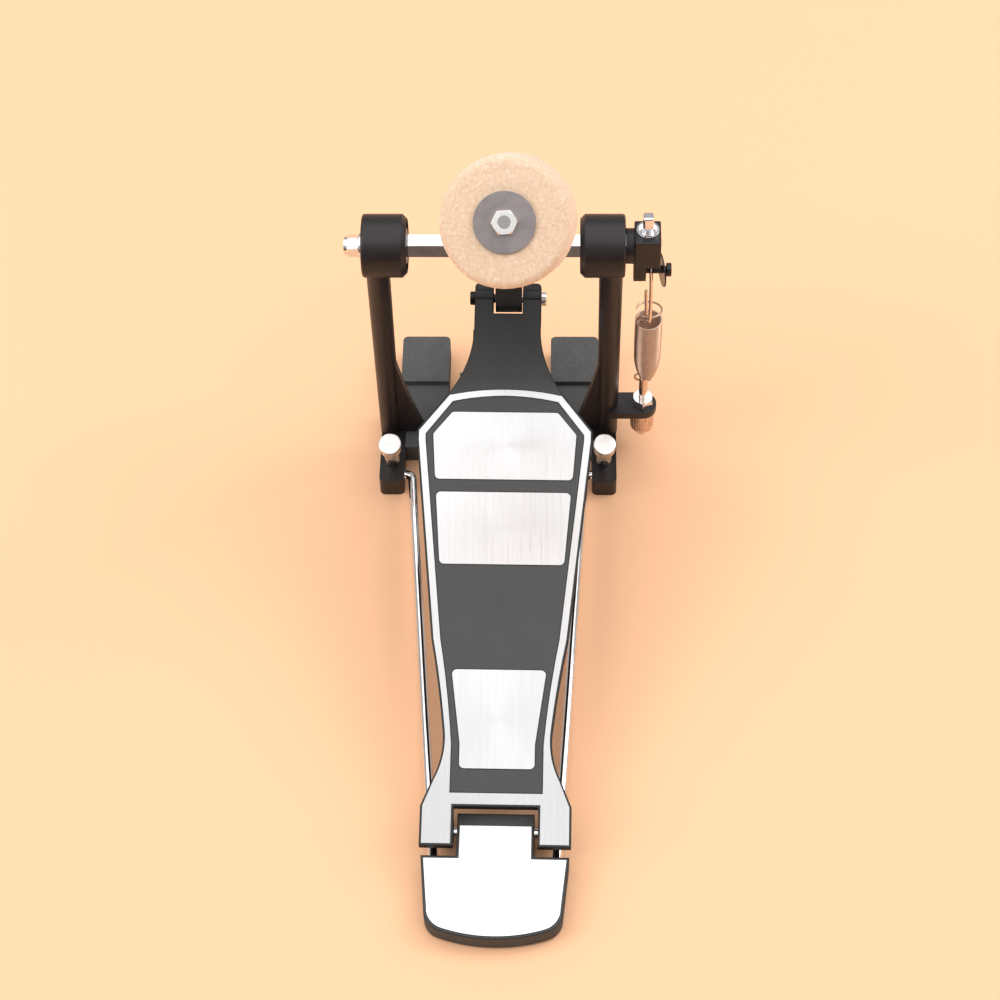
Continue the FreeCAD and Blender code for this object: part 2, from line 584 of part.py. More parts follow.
def hub():
    """The boss on the shaft, the cam that the strap lies on and the side boss for the rod's key screw."""
    boss = leaning(made("Part::Cylinder", "hub_boss", Radius="hub_radius", Height="2 * hub_half"),
                   "hub_x - hub_half", turn=ALONG_X)
    cam = leaning(made("Part::Cylinder", "hub_cam", Radius="cam_radius", Height="2 * cam_half"),
                  "hub_x - cam_half", turn=ALONG_X)
    clamp = leaning(made("Part::Cylinder", "hub_clamp_boss", Radius="clamp_boss_radius",
                         Height="clamp_boss_end"), "hub_x", "rod_offset", "2", ALONG_X)
    tools = [hex_bar("hub_bore", "hub_x - 2 * hub_half", "hub_x + 2 * hub_half"),
             leaning(made("Part::Cylinder", "hub_rod_hole", Radius="rod_radius + slip", Height="60"),
                     "hub_x", "rod_offset", "-rod_below"),
             leaning(made("Part::Cylinder", "hub_clamp_thread", Radius="key_screw_radius", Height="30"),
                     "hub_x + rod_radius - 1", "rod_offset", "2", ALONG_X),
             screw_way("hub_strap_thread")]
    keep("beater_hub", cut("beater_hub", fuse("hub_solid", boss, cam, clamp), *tools))
    shank = leaning(made("Part::Cylinder", "rod_key_shank", Radius="key_screw_radius",
                         Height="clamp_boss_end - rod_radius + 2"),
                    "hub_x + rod_radius + slip", "rod_offset", "2", ALONG_X)
    head = leaning(made("Part::Box", "rod_key_head", Length="key_head_side", Width="key_head_side",
                        Height="key_head_tall"), "hub_x + clamp_boss_end + 1.9",
                   "rod_offset - key_head_side / 2", "2 + key_head_side / 2", ALONG_X)
    keep("rod_key_screw", fuse("rod_key_screw", shank, head))


def strap_sector(name, first, last):
    """A strap's band over the cam between two angles, counted up from the drum side."""
    band = made("Part::Cylinder", name + "_band", Radius="cam_radius + strap_thick + strap_lift",
                Height="2 * strap_half", Angle=f"({last}) - ({first})")
    hole = made("Part::Cylinder", name + "_hollow", Radius="cam_radius + strap_lift", Height="2 * strap_half",
                Angle="360")
    turn = UPRIGHT_SIDE * Rotation(Vector(0, 0, 1), worth(first))
    put(band, "strap_x - strap_half", "0", "axle_height", turn)
    put(hole, "strap_x - strap_half", "0", "axle_height", turn)
    return cut(name, band, hole)


def strap():
    """The strap: its upper end lies on the cam and turns with it, and its run goes down to the toe."""
    band = strap_sector("strap_wrap_band", "wrap_start", "wrap_end")
    keep("strap_wrap", cut("strap_wrap", band, screw_way("strap_screw_hole")))
    toe_y, toe_z = toe_axis()
    middle = "cam_radius + strap_lift + strap_thick / 2"
    sides = ("strap_x - strap_half", "strap_x + strap_half")
    run = span("strap_straight", sides,
               (f"{middle} - strap_thick / 2", f"{middle} + strap_thick / 2"),
               (f"{toe_z} + strap_eye_bore", "axle_height"))
    eye = bar("strap_eye", "strap_eye_radius", *sides, toe_y, toe_z)
    bore = bar("strap_bore", "strap_eye_bore", *sides, toe_y, toe_z)
    solid = fuse("strap_solid", strap_sector("strap_bend", "0", "run_arc"), run, eye)
    keep("strap_run", cut("strap_run", solid, bore))
    top = "cam_radius + strap_lift + strap_thick"
    shank = screw_way("strap_screw_shank")
    head = made("Part::Cylinder", "strap_screw_head", Radius="strap_screw_head_radius",
                Height="strap_screw_head_thick")
    keep("strap_screw", fuse("strap_screw", shank, out_from_cam(head, top)))


def out_from_cam(item, start):
    """Points an object straight out from the cam at the strap screw's angle."""
    angle = "strap_screw_angle * 1deg"
    return put(item, "strap_x", f"({start}) * cos({angle})", f"axle_height + ({start}) * sin({angle})",
               Rotation(Vector(1, 0, 0), cell("strap_screw_angle") - 90))


def screw_way(name):
    """The strap screw's shank, which is also the hole that it takes in the cam and in the strap."""
    way = made("Part::Cylinder", name, Radius="strap_screw_radius",
               Height="strap_screw_deep + strap_lift + strap_thick")
    return out_from_cam(way, "cam_radius - strap_screw_deep")


def toe_axis():
    """Sums for where the toe pin's axis passes, as y and z."""
    y = "board_back + toe_at * cos(board_pitch * 1deg) + toe_depth * sin(board_pitch * 1deg)"
    z = "board_height + toe_at * sin(board_pitch * 1deg) - toe_depth * cos(board_pitch * 1deg)"
    return f"({y})", f"({z})"


def beater():
    """The rod, the felt head and what holds the head on the rod's threaded end."""
    inner = "head_outer - felt_thick - washer_thick"
    end = "head_outer + washer_thick + beater_nut_thick"
    rod = leaning(made("Part::Cylinder", "rod_bar", Radius="rod_radius", Height=f"{inner} + rod_below"),
                  "hub_x", "rod_offset", "-rod_below")
    thread = leaning(made("Part::Cylinder", "rod_thread", Radius="thread_radius",
                          Height=f"{end} - 1.2 - ({inner})"), "hub_x", "rod_offset", inner)
    keep("beater_rod", fuse("beater_rod", rod, thread))
    discs = (("felt_beater", "head_outer - felt_thick", "felt_thick", "felt_radius"),
             ("inner_washer", inner, "washer_thick", "washer_radius"),
             ("outer_washer", "head_outer", "washer_thick", "washer_radius"))
    for name, start, thick, radius in discs:
        disc = leaning(made("Part::Cylinder", name + "_blank", Radius=radius, Height=thick),
                       "hub_x", "rod_offset", start)
        hole = leaning(made("Part::Cylinder", name + "_hole", Radius="thread_radius", Height=thick),
                       "hub_x", "rod_offset", start)
        keep(name, cut(name, disc, hole))
    blank = nut("beater_nut", "beater_nut_flats", "beater_nut_thick",
                lambda item: leaning(item, "hub_x", "rod_offset", "head_outer + washer_thick",
                                     Rotation(Vector(0, 0, 1), 4)))
    hole = leaning(made("Part::Cylinder", "beater_nut_hole", Radius="thread_radius", Height="20"),
                   "hub_x", "rod_offset", "head_outer")
    keep("beater_nut", cut("beater_nut", blank, hole))


# The spring on the right side and what tightens it


def spring_hook():
    """A wire link that hangs on the rocker's pin and pulls up the near side of the spring's top ring."""
    wire, play = cell("hook_wire"), cell("hook_foot_play")
    head, foot = cell("rocker_pin_radius") + wire + cell("hook_play"), cell("spring_wall") / 2 + wire + play
    ring_radius = cell("spring_radius") - cell("spring_wall") / 2
    tilt = math.radians(cell("spring_ring_tilt"))
    top = Vector(cell("spring_x"), 0, cell("axle_height") - cell("rocker_arm"))
    bottom = Vector(cell("spring_x"), -ring_radius * math.cos(tilt),
                    cell("spring_ring_height") + ring_radius * math.sin(tilt))
    down = (bottom - top).normalize()
    bottom = bottom - down * (play - cell("slip"))
    side = Vector(0, -down.z, down.y)
    flare = math.asin((head - foot) / (bottom - top).Length)
    out = side * math.cos(flare) + down * math.sin(flare)
    back = side * -math.cos(flare) + down * math.sin(flare)
    path = Part.Wire([
        Part.Arc(top + back * head, top - down * head, top + out * head).toShape(),
        Part.makeLine(top + out * head, bottom + out * foot),
        Part.Arc(bottom + out * foot, bottom + down * foot, bottom + back * foot).toShape(),
        Part.makeLine(bottom + back * foot, top + back * head)])
    start = Part.Wire(Part.makeCircle(wire, top - down * head, side))
    item = doc.addObject("Part::Feature", "hook_link")
    item.Shape = path.makePipeShell([start], True, False)
    keep("spring_hook", item)


def spring():
    """The coil spring's outer form: a hollow barrel that narrows to its foot, and a loose ring above it."""
    item = doc.addObject("Part::Feature", "spring_coils")
    outside = [(cell("spring_foot_radius"), cell("spring_bottom")),
               (cell("spring_radius"), cell("spring_taper_top")), (cell("spring_radius"), cell("spring_top"))]
    wall = cell("spring_wall")
    inside = [(radius - wall, height) for radius, height in reversed(outside)]
    points = [Vector(radius, 0, height) for radius, height in outside + inside]
    face = Part.Face(Part.makePolygon(points + points[:1]))
    item.Shape = face.revolve(Vector(), Vector(0, 0, 1), 360)
    item.Placement = Placement(Vector(cell("spring_x"), 0, 0), Rotation())
    keep("spring", item)
    ring = doc.addObject("Part::Feature", "ring_loop")
    ring.Shape = Part.makeTorus(cell("spring_radius") - wall / 2, wall / 2)
    ring.Placement = Placement(Vector(cell("spring_x"), 0, cell("spring_ring_height")),
                               Rotation(Vector(1, 0, 0), -cell("spring_ring_tilt")))
    riser = post("ring_riser", "spring_riser_radius", "spring_top + spring_riser_gap", "spring_ring_height",
                 "spring_x - (spring_radius - spring_wall / 2)")
    keep("spring_ring", fuse("spring_ring", ring, riser))


def tension_screw():
    """The bolt under the spring with an eye through its top, a lock nut and, below, a knurled nut."""
    shank = post("bolt_shank", "bolt_radius", "bolt_low", "bolt_top", "arm_middle")
    shank = soften("bolt_rounded", shank, "nut_edge", lambda edge: len(edge.Vertexes) == 1)
    eye = bar("bolt_eye", "bolt_eye_radius", "arm_middle - bolt_radius - 1", "arm_middle + bolt_radius + 1",
              "0", "bolt_eye_height")
    keep("eye_bolt", cut("eye_bolt", shank, eye))
    blank = nut("lock_nut", "lock_nut_flats", "lock_nut_thick",
                lambda item: put(item, "arm_middle", "0", "arm_top", Rotation(Vector(0, 0, 1), 30)))
    hole = post("lock_nut_hole", "bolt_radius + slip", "arm_top", "arm_top + lock_nut_thick", "arm_middle")
    keep("spring_lock_nut", cut("spring_lock_nut", blank, hole))
    top = "arm_top - arm_thick - side_play / 4"
    knob = post("knob_blank", "knob_radius", f"{top} - knob_thick", top, "arm_middle")
    knob = soften("knob_body", knob, "corner_round",
                  lambda edge: len(edge.Vertexes) == 1 and edge.CenterOfMass.z < 20)
    bore = post("knob_bore", "bolt_radius + slip", "bolt_low", "arm_top", "arm_middle")
    grooves = []
    for number in range(int(cell("knob_knurls"))):
        angle = f"{360 * number / cell('knob_knurls')} * 1deg"
        grooves.append(post(f"knob_groove_{number}", "key_edge * 0.6",
                            f"{top} - knob_thick + 3.4", f"{top} - 1.2",
                            f"arm_middle + (knob_radius + 0.1) * cos({angle})",
                            f"(knob_radius + 0.1) * sin({angle})"))
    keep("tension_knob", cut("tension_knob", knob, bore, *grooves))


# The heel plate, its hinge pin and the wire rods to the frame


def pedal_place():
    """Where the heel and the footboard stand: a little to the right, and turned about the upright."""
    return Placement(Vector(cell("pedal_x"), 0, 0), Rotation(Vector(0, 0, 1), -cell("pedal_turn")))


def set_over(*names):
    """Moves sub-parts that were drawn about the middle to where the heel and the footboard stand."""
    for node in names:
        whole = group(node + "_in_place", nodes[node])
        keep(node, put(whole, "pedal_x", turn=pedal_place().Rotation))


def heel_outline(edge):
    """The heel plate's plan, with its edge moved inwards. Its back is a shallow arc between round corners."""
    turn = f"(heel_turn - {edge})"
    corner_low = f"heel_back + {edge} + {turn} * {turn} / (2 * heel_curve)"
    return both_sides([
        ("0", f"heel_back + {edge}", "heel_curve", "left"), (turn, corner_low, "heel_curve", "left"),
        (f"heel_back_half - {edge}", f"{corner_low} + heel_corner_rise", "heel_corner", "left"),
        (f"heel_half - {edge}", f"heel_shoulder - {edge}"),
        (f"tongue_half - {edge}", f"heel_shoulder - {edge}")])


def heel_plate():
    """The heel plate, thinner at the back, with a tongue that the footboard's lugs straddle."""
    plan = heel_outline("0")
    half = len(plan) // 2 + 1
    tongue = [("tongue_half", "tongue_front"), ("-tongue_half", "tongue_front")]
    plan = plan[:half] + tongue + plan[half:]
    body = plate("heel_body", [plan], "heel_tall - heel_sole", "heel_sole")
    slope = math.degrees(math.atan2(cell("heel_slope"), cell("tongue_front") - cell("heel_back")))
    over = made("Part::Box", "heel_over", Length="4 * heel_half", Width="120", Height="30")
    put(over, "-2 * heel_half", "tongue_front", "heel_tall", Rotation(Vector(1, 0, 0), slope))
    over.setExpression("Placement.Base.y", formula(f"tongue_front - 120 * cos({slope} * 1deg)"))
    over.setExpression("Placement.Base.z", formula(f"heel_tall - 120 * sin({slope} * 1deg)"))
    pin_hole = bar("heel_pin_hole", "pivot_radius", "-heel_half", "heel_half", "pivot_back", "pivot_height")
    rod_holes = []
    for side, sign in (("left", -1), ("right", 1)):
        hole = made("Part::Cylinder", side + "_heel_rod_hole", Radius="wire_radius", Height="wire_into + 20")
        rod_holes.append(put(hole, sided(sign, "wire_back_half"), "heel_shoulder - wire_into", "wire_height",
                             Rotation(Vector(1, 0, 0), -90)))
    keep("heel_plate", cut("heel_plate", body, over, pin_hole, *rod_holes))
    keep("heel_pin", bar("heel_pin", "pivot_radius", "-pivot_half", "pivot_half",
                         "pivot_back", "pivot_height"))
    sole = plate("heel_sole_body", [heel_outline("tread_edge * 2")], "heel_sole")
    keep("heel_rubber", sole)
    return slope


def heel_tread(slope):
    """The bright tread let into the heel plate, with one tab up the tongue."""
    plan = heel_outline("tread_edge")
    half = len(plan) // 2 + 1
    tongue = [("tongue_half - tread_edge", "tread_front"), ("-(tongue_half - tread_edge)", "tread_front")]
    body = plate("tread_body", [plan[:half] + tongue + plan[half:]], "tread_thick")
    turn = Rotation(Vector(1, 0, 0), slope)
    lift = f"heel_tall + tread_proud - tread_thick - tongue_front * sin({slope} * 1deg)"
    put(body, "0", f"tongue_front - tongue_front * cos({slope} * 1deg)", lift, turn)
    keep("heel_plate", cut("heel_plate_seat", nodes["heel_plate"], body))
    keep("heel_tread", body)


def wire_path(sign):
    """The line of one wire rod: out of the foot's side, round a bend and back to the heel plate."""
    front = Vector(sign * cell("wire_front_half"), cell("wire_front"), cell("wire_height"))
    back = pedal_place() * Vector(sign * cell("wire_back_half"),
                                  cell("heel_shoulder") - cell("wire_into") / 2, cell("wire_height"))
    root = Vector(sign * (cell("foot_inner") + cell("wire_into")), cell("wire_front"), cell("wire_height"))
    away = (back - front).normalize()
    out = Vector(sign, 0, 0)
    turn = math.pi - out.getAngle(away)
    reach = cell("wire_bend") * math.tan(turn / 2)
    begin, finish = front + out * reach, front + away * reach
    inner = (out + away).normalize()
    centre = front + inner * (cell("wire_bend") / math.cos(turn / 2))
    bend = Part.Arc(begin, centre - inner * cell("wire_bend"), finish)
    return Part.Wire([Part.makeLine(root, begin), bend.toShape(), Part.makeLine(finish, back)]), root, out


def wire_rods():
    """The two chromed wire rods that hold the heel plate to the frame."""
    for side, sign in (("left", -1), ("right", 1)):
        path, root, out = wire_path(sign)
        section = Part.Wire(Part.makeCircle(cell("wire_radius"), root, out))
        item = doc.addObject("Part::Feature", side + "_rod_wire")
        item.Shape = path.makePipeShell([section], True, False)
        foot = nodes[side + "_upright"]
        keep(side + "_upright", cut(side + "_upright_bored", foot, bar(
            side + "_rod_socket", "wire_radius", *x_range(sign, "foot_inner - 1", "foot_inner + wire_into"),
            "wire_front", "wire_height")))
        keep(side + "_wire_rod", item)


# The footboard and the bright inlays in it


def board_outline():
    """The footboard's plan, along the board from its heel end."""
    return [("lug_inner", "0"), ("lug_outer", "0"), ("lug_outer", "lug_length"),
            ("flare_half", "flare_at"), ("waist_half", "waist_at", "flare_curve", "right"),
            ("side_half", "side_at", "side_curve", "right"), ("shoulder_half", "shoulder_at"),
            ("shoulder_half", "crown_low"), ("crown_half", "crown_high"),
            ("neck_half", "neck_at", "neck_curve", "right"), ("neck_half", "toe_end")]


def footboard():
    half = board_outline()
    left = both_sides(half)[len(half):]
    notch = [("-lug_inner", "lug_length"), ("lug_inner", "lug_length")]
    body = plate("board_plate", [half + left + notch], "board_thick", "-board_thick")
    round_edges(body, "toe_corners", "toe_round",
                lambda edge: upright_edge(edge) and edge.CenterOfMass.y > cell("toe_end") - 1)
    on_board(body)
    ears = on_board(made("Part::Box", "toe_ears", Length="2 * neck_half", Width="toe_at - ear_back",
                         Height="ear_depth"), "-neck_half", "ear_back", "-ear_depth")
    toe_y, toe_z = toe_axis()
    ear_end = bar("toe_ear_end", "ear_radius", "-neck_half", "neck_half", toe_y, toe_z)
    ribs = [on_board(made("Part::Box", f"rib_{sign}", Length="2 * rib_half", Width="rib_to - rib_from",
                          Height="rib_deep + 0.5"), sided(sign, "rib_across") + " - rib_half", "rib_from",
                     "-board_thick - rib_deep") for sign in (-1, 1)]
    lug_ears = []
    for side, sign in (("left", -1), ("right", 1)):
        reach = x_range(sign, "lug_inner", "lug_ear_outer")
        lug_ears.append(bar(side + "_lug_ear", "lug_ear_radius", *reach, "pivot_back", "pivot_height"))
        lug_ears.append(span(side + "_lug_web", reach,
                             ("pivot_back - lug_ear_radius", "pivot_back + lug_ear_radius"),
                             ("pivot_height", "pivot_height + 7")))
    slot = on_board(made("Part::Box", "toe_slot", Length="2 * slot_half", Width="40", Height="40"),
                    "-slot_half", "slot_bottom", "-20")
    holes = [bar("toe_hole", "toe_radius", "-neck_half - 1", "neck_half + 1", toe_y, toe_z),
             bar("lug_hole", "pivot_radius + slip", "-lug_outer", "lug_outer", "pivot_back", "pivot_height")]
    solid = fuse("board_solid", body, ears, ear_end, *ribs, *lug_ears)
    inlays = [border_inlay()] + panels()
    keep("footboard", cut("footboard", solid, slot, *holes, *inlays))
    pin = bar("toe_pin_shank", "toe_radius", "-toe_half + toe_head_thick", "toe_half - toe_head_thick",
              toe_y, toe_z)
    heads = []
    for side, reach in (("left", ("-toe_half", "-neck_half - 0.2")),
                        ("right", ("neck_half + 0.2", "toe_half"))):
        head = bar(side + "_toe_head_blank", "toe_head_radius", *reach, toe_y, toe_z)
        heads.append(soften(side + "_toe_head", head, "key_edge", lambda edge: len(edge.Vertexes) == 1
                            and abs(abs(edge.CenterOfMass.x) - cell("toe_half")) < 0.05))
    keep("toe_pin", fuse("toe_pin", pin, *heads))


def inlay(name, outlines, pick=None):
    """A bright plate let into the footboard, with the corners that pick chooses rounded."""
    body = plate(name + "_plate", outlines, "inlay_thick", "inlay_proud - inlay_thick")
    if pick:
        round_edges(body, name + "_corners", "panel_round", pick)
    on_board(body)
    return keep(name, body)


def border_inlay():
    """The bright band just inside the footboard's edge, open at the heel end."""
    edge, wide = "border_edge", "(border_edge + border_wide)"
    outer = [(f"lug_inner + {edge}", edge), (f"lug_outer - {edge}", edge),
             (f"lug_outer - {edge}", "lug_length"),
             (f"flare_half - {edge}", "flare_at + 0.4"),
             (f"waist_half - {edge}", "waist_at", "flare_curve", "right"),
             (f"side_half - {edge}", "side_at", "side_curve", "right"),
             (f"shoulder_half - {edge}", "shoulder_at"),
             (f"shoulder_half - {edge}", f"crown_low - {edge} / 2"),
             (f"crown_half - {edge} / 2", f"crown_high - {edge}"),
             ("0", f"crown_top - {edge}", "crown_curve", "left")]
    inner = [(f"waist_half - {wide}", f"lug_length + border_bar"),
             (f"waist_half - {wide}", "waist_at - 8"),
             (f"side_half - {wide}", "side_at", "side_curve", "right"),
             (f"shoulder_half - {wide}", "shoulder_at"),
             (f"shoulder_half - {wide}", f"crown_low - {wide} / 2"),
             (f"crown_half - {wide} / 2", f"crown_high - {wide}"),
             ("0", f"crown_top - {wide}", "crown_curve", "left")]
    left = both_sides(outer)[len(outer):]
    notch = [(f"-(lug_inner + {edge})", f"lug_length + {edge}"),
             (f"lug_inner + {edge}", f"lug_length + {edge}")]
    return inlay("border_inlay", [outer + left + notch, both_sides(inner)])


def panels():
    """The three bright panels along the footboard."""
    upper = [("panel_low_half", "upper_low"), ("panel_wide_half", "upper_bend"),
             ("panel_top_half", "upper_high")]
    middle = [("middle_low_half", "middle_low"), ("middle_high_half", "middle_high")]
    lower = [("lower_low_half", "lower_low"), ("lower_low_half", "lower_bend"),
             ("lower_high_half", "lower_high")]
    made_panels = []
    for name, half in (("upper_panel", upper), ("middle_panel", middle), ("lower_panel", lower)):
        made_panels.append(inlay(name, [both_sides(half)], lambda edge: upright_edge(edge)
                                 and abs(edge.CenterOfMass.y - cell("lower_bend")) > 1))
    return made_panels


# The hoop clamp and the two spur screws


def hoop_clamp():
    """A rocking jaw over the base, whose rear end a wing screw lifts so that its nose grips the hoop."""
    profile = [("jaw_rear", "jaw_rear_low + 4"), ("jaw_rear + 5", "jaw_rear_low"),
               ("jaw_pivot_far + 8", "jaw_pivot_height - 6.5"), ("jaw_pad_near", "jaw_nose_low"),
               ("jaw_nose", "jaw_nose_low"), ("jaw_nose", "jaw_nose_high"),
               ("jaw_pivot_far + 12", "jaw_top"), ("jaw_rear", "jaw_top - 4")]
    body = plate("jaw_body", [profile], "2 * jaw_half")
    put(body, "-jaw_half", "0", "0", UPRIGHT_SIDE)
    holes = [bar("jaw_hole", "jaw_pin_radius + slip", "-jaw_half - 1", "jaw_half + 1", "jaw_pivot_far",
                 "jaw_pivot_height"),
             post("jaw_thread", "clamp_radius + slip", "jaw_rear_low - 1", "jaw_top + 1", "0", "clamp_at")]
    keep("clamp_jaw", cut("clamp_jaw", body, *holes))
    keep("clamp_jaw_pin", bar("clamp_jaw_pin", "jaw_pin_radius", "-jaw_lug_half - 0.8", "jaw_lug_half + 0.8",
                              "jaw_pivot_far", "jaw_pivot_height"))
    pad = span("jaw_pad_block", ("-jaw_half", "jaw_half"), ("jaw_pad_near", "jaw_nose"),
               ("jaw_nose_low - jaw_pad_thick", "jaw_nose_low"))
    keep("clamp_jaw_pad", pad)
    shank = post("clamp_shank", "clamp_radius", "clamp_low", "clamp_high", "0", "clamp_at")
    collar = post("clamp_hub", "clamp_hub_radius", "clamp_high - 6", "clamp_high + 2", "0", "clamp_at")
    wings = span("clamp_wings", ("-wing_half", "wing_half"),
                 ("clamp_at - wing_thick / 2", "clamp_at + wing_thick / 2"),
                 ("clamp_high - 4", "clamp_high - 4 + wing_tall"))
    wings = soften("clamp_wings_round", wings, "corner_round",
                   lambda edge: abs(abs(edge.CenterOfMass.x) - cell("wing_half")) < 0.1
                   and edge.Length < cell("wing_thick") + 0.1)
    keep("clamp_wing_screw", fuse("clamp_wing_screw", shank, collar, wings))


def spur_screws():
    """A knobbed spur screw in each foot, which can be run down to bite into a carpet."""
    for side, sign in (("left", -1), ("right", 1)):
        def along(item, start):
            return put(item, sided(sign, "spur_x"), f"spur_head_back + ({start}) * sin(spur_lean * 1deg)",
                       f"spur_head_height - ({start}) * cos(spur_lean * 1deg)",
                       spur_axis() * Rotation(Vector(1, 0, 0), 180))
        half = "spur_head_tall / 2"
        head = along(made("Part::Cylinder", side + "_spur_knob", Radius="spur_head_radius",
                          Height="spur_head_tall"), f"-{half}")
        head = soften(side + "_spur_head", head, "key_edge", lambda edge: len(edge.Vertexes) == 1)
        shank = along(made("Part::Cylinder", side + "_spur_shank", Radius="spur_radius",
                           Height=f"spur_length - {half} - spur_point - 1"), half)
        tip = along(made("Part::Cone", side + "_spur_tip", Radius1="spur_radius", Radius2="0.4",
                         Height="spur_point"), "spur_length - spur_point - 1")
        keep(side + "_spur_screw", fuse(side + "_spur_screw", head, shank, tip))


def write_parts():
    """Checks every object and sub-part, then writes one STEP file for each sub-part."""
    doc.recompute()
    failed = [item.Name for item in doc.Objects if {"Invalid", "Error"} & set(item.State)]
    for node, item in nodes.items():
        if item.Shape.isNull() or not item.Shape.isValid() or not item.Shape.Solids:
            failed.append(node)
    if failed:
        raise RuntimeError("not built: " + ", ".join(failed))
    os.makedirs("parts", exist_ok=True)
    for node, item in nodes.items():
        item.Shape.exportStep(f"parts/{node}.step")
        print(f"{node:24s} solids {len(item.Shape.Solids):2d}  volume {item.Shape.Volume:10.1f}")


base_casting()
hoop_pads()
upright("left", -1)
upright("right", 1)
base_screws()
bearings()
hex_shaft()
shaft_end()
rocker()
rocker_pin()
hub()
strap()
beater()
spring_hook()
spring()
tension_screw()
heel_tread(heel_plate())
wire_rods()
footboard()
set_over("heel_plate", "heel_tread", "heel_rubber", "heel_pin", "footboard", "border_inlay", "upper_panel",
         "middle_panel", "lower_panel", "toe_pin")
hoop_clamp()
spur_screws()
write_parts()
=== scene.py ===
import json
import math
import bmesh
import bpy
from mathutils import Matrix, Vector, noise


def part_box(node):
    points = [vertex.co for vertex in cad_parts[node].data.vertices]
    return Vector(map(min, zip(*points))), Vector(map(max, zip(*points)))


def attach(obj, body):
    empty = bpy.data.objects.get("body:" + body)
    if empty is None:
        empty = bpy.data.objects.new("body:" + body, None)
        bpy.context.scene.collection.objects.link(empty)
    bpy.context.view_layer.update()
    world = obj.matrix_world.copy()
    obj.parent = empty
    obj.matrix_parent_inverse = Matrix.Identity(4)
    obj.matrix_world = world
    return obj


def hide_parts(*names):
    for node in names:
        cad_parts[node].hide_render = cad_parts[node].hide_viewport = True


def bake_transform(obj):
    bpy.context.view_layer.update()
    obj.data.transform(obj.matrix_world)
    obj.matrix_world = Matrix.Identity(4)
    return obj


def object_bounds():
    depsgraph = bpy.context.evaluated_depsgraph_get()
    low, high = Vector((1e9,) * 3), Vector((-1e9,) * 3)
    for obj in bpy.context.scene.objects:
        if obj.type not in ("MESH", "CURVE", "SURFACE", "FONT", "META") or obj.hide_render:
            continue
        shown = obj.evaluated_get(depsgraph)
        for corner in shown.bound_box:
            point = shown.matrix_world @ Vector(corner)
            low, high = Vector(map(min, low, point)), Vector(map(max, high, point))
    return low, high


# The looks of a bass drum pedal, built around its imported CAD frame. Lengths are in metres.

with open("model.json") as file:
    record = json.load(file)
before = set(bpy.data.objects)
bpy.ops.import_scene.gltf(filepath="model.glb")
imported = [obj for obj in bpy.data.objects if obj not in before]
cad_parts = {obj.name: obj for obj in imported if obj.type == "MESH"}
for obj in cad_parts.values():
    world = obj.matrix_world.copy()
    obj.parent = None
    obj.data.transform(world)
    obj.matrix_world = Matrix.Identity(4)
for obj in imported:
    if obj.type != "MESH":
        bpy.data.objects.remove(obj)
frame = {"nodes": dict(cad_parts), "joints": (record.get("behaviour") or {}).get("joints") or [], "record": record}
cad_low, cad_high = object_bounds()
MM = 0.001
JOINTS = {joint["name"]: joint for joint in frame["joints"]}


def centre(node):
    """The middle of a CAD node's box."""
    low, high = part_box(node)
    return (low + high) / 2


def size(node):
    """The width, depth and height of a CAD node's box."""
    low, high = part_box(node)
    return high - low


# Materials. Each is a small node tree on the object's own coordinates, so it stays put on a moving part.


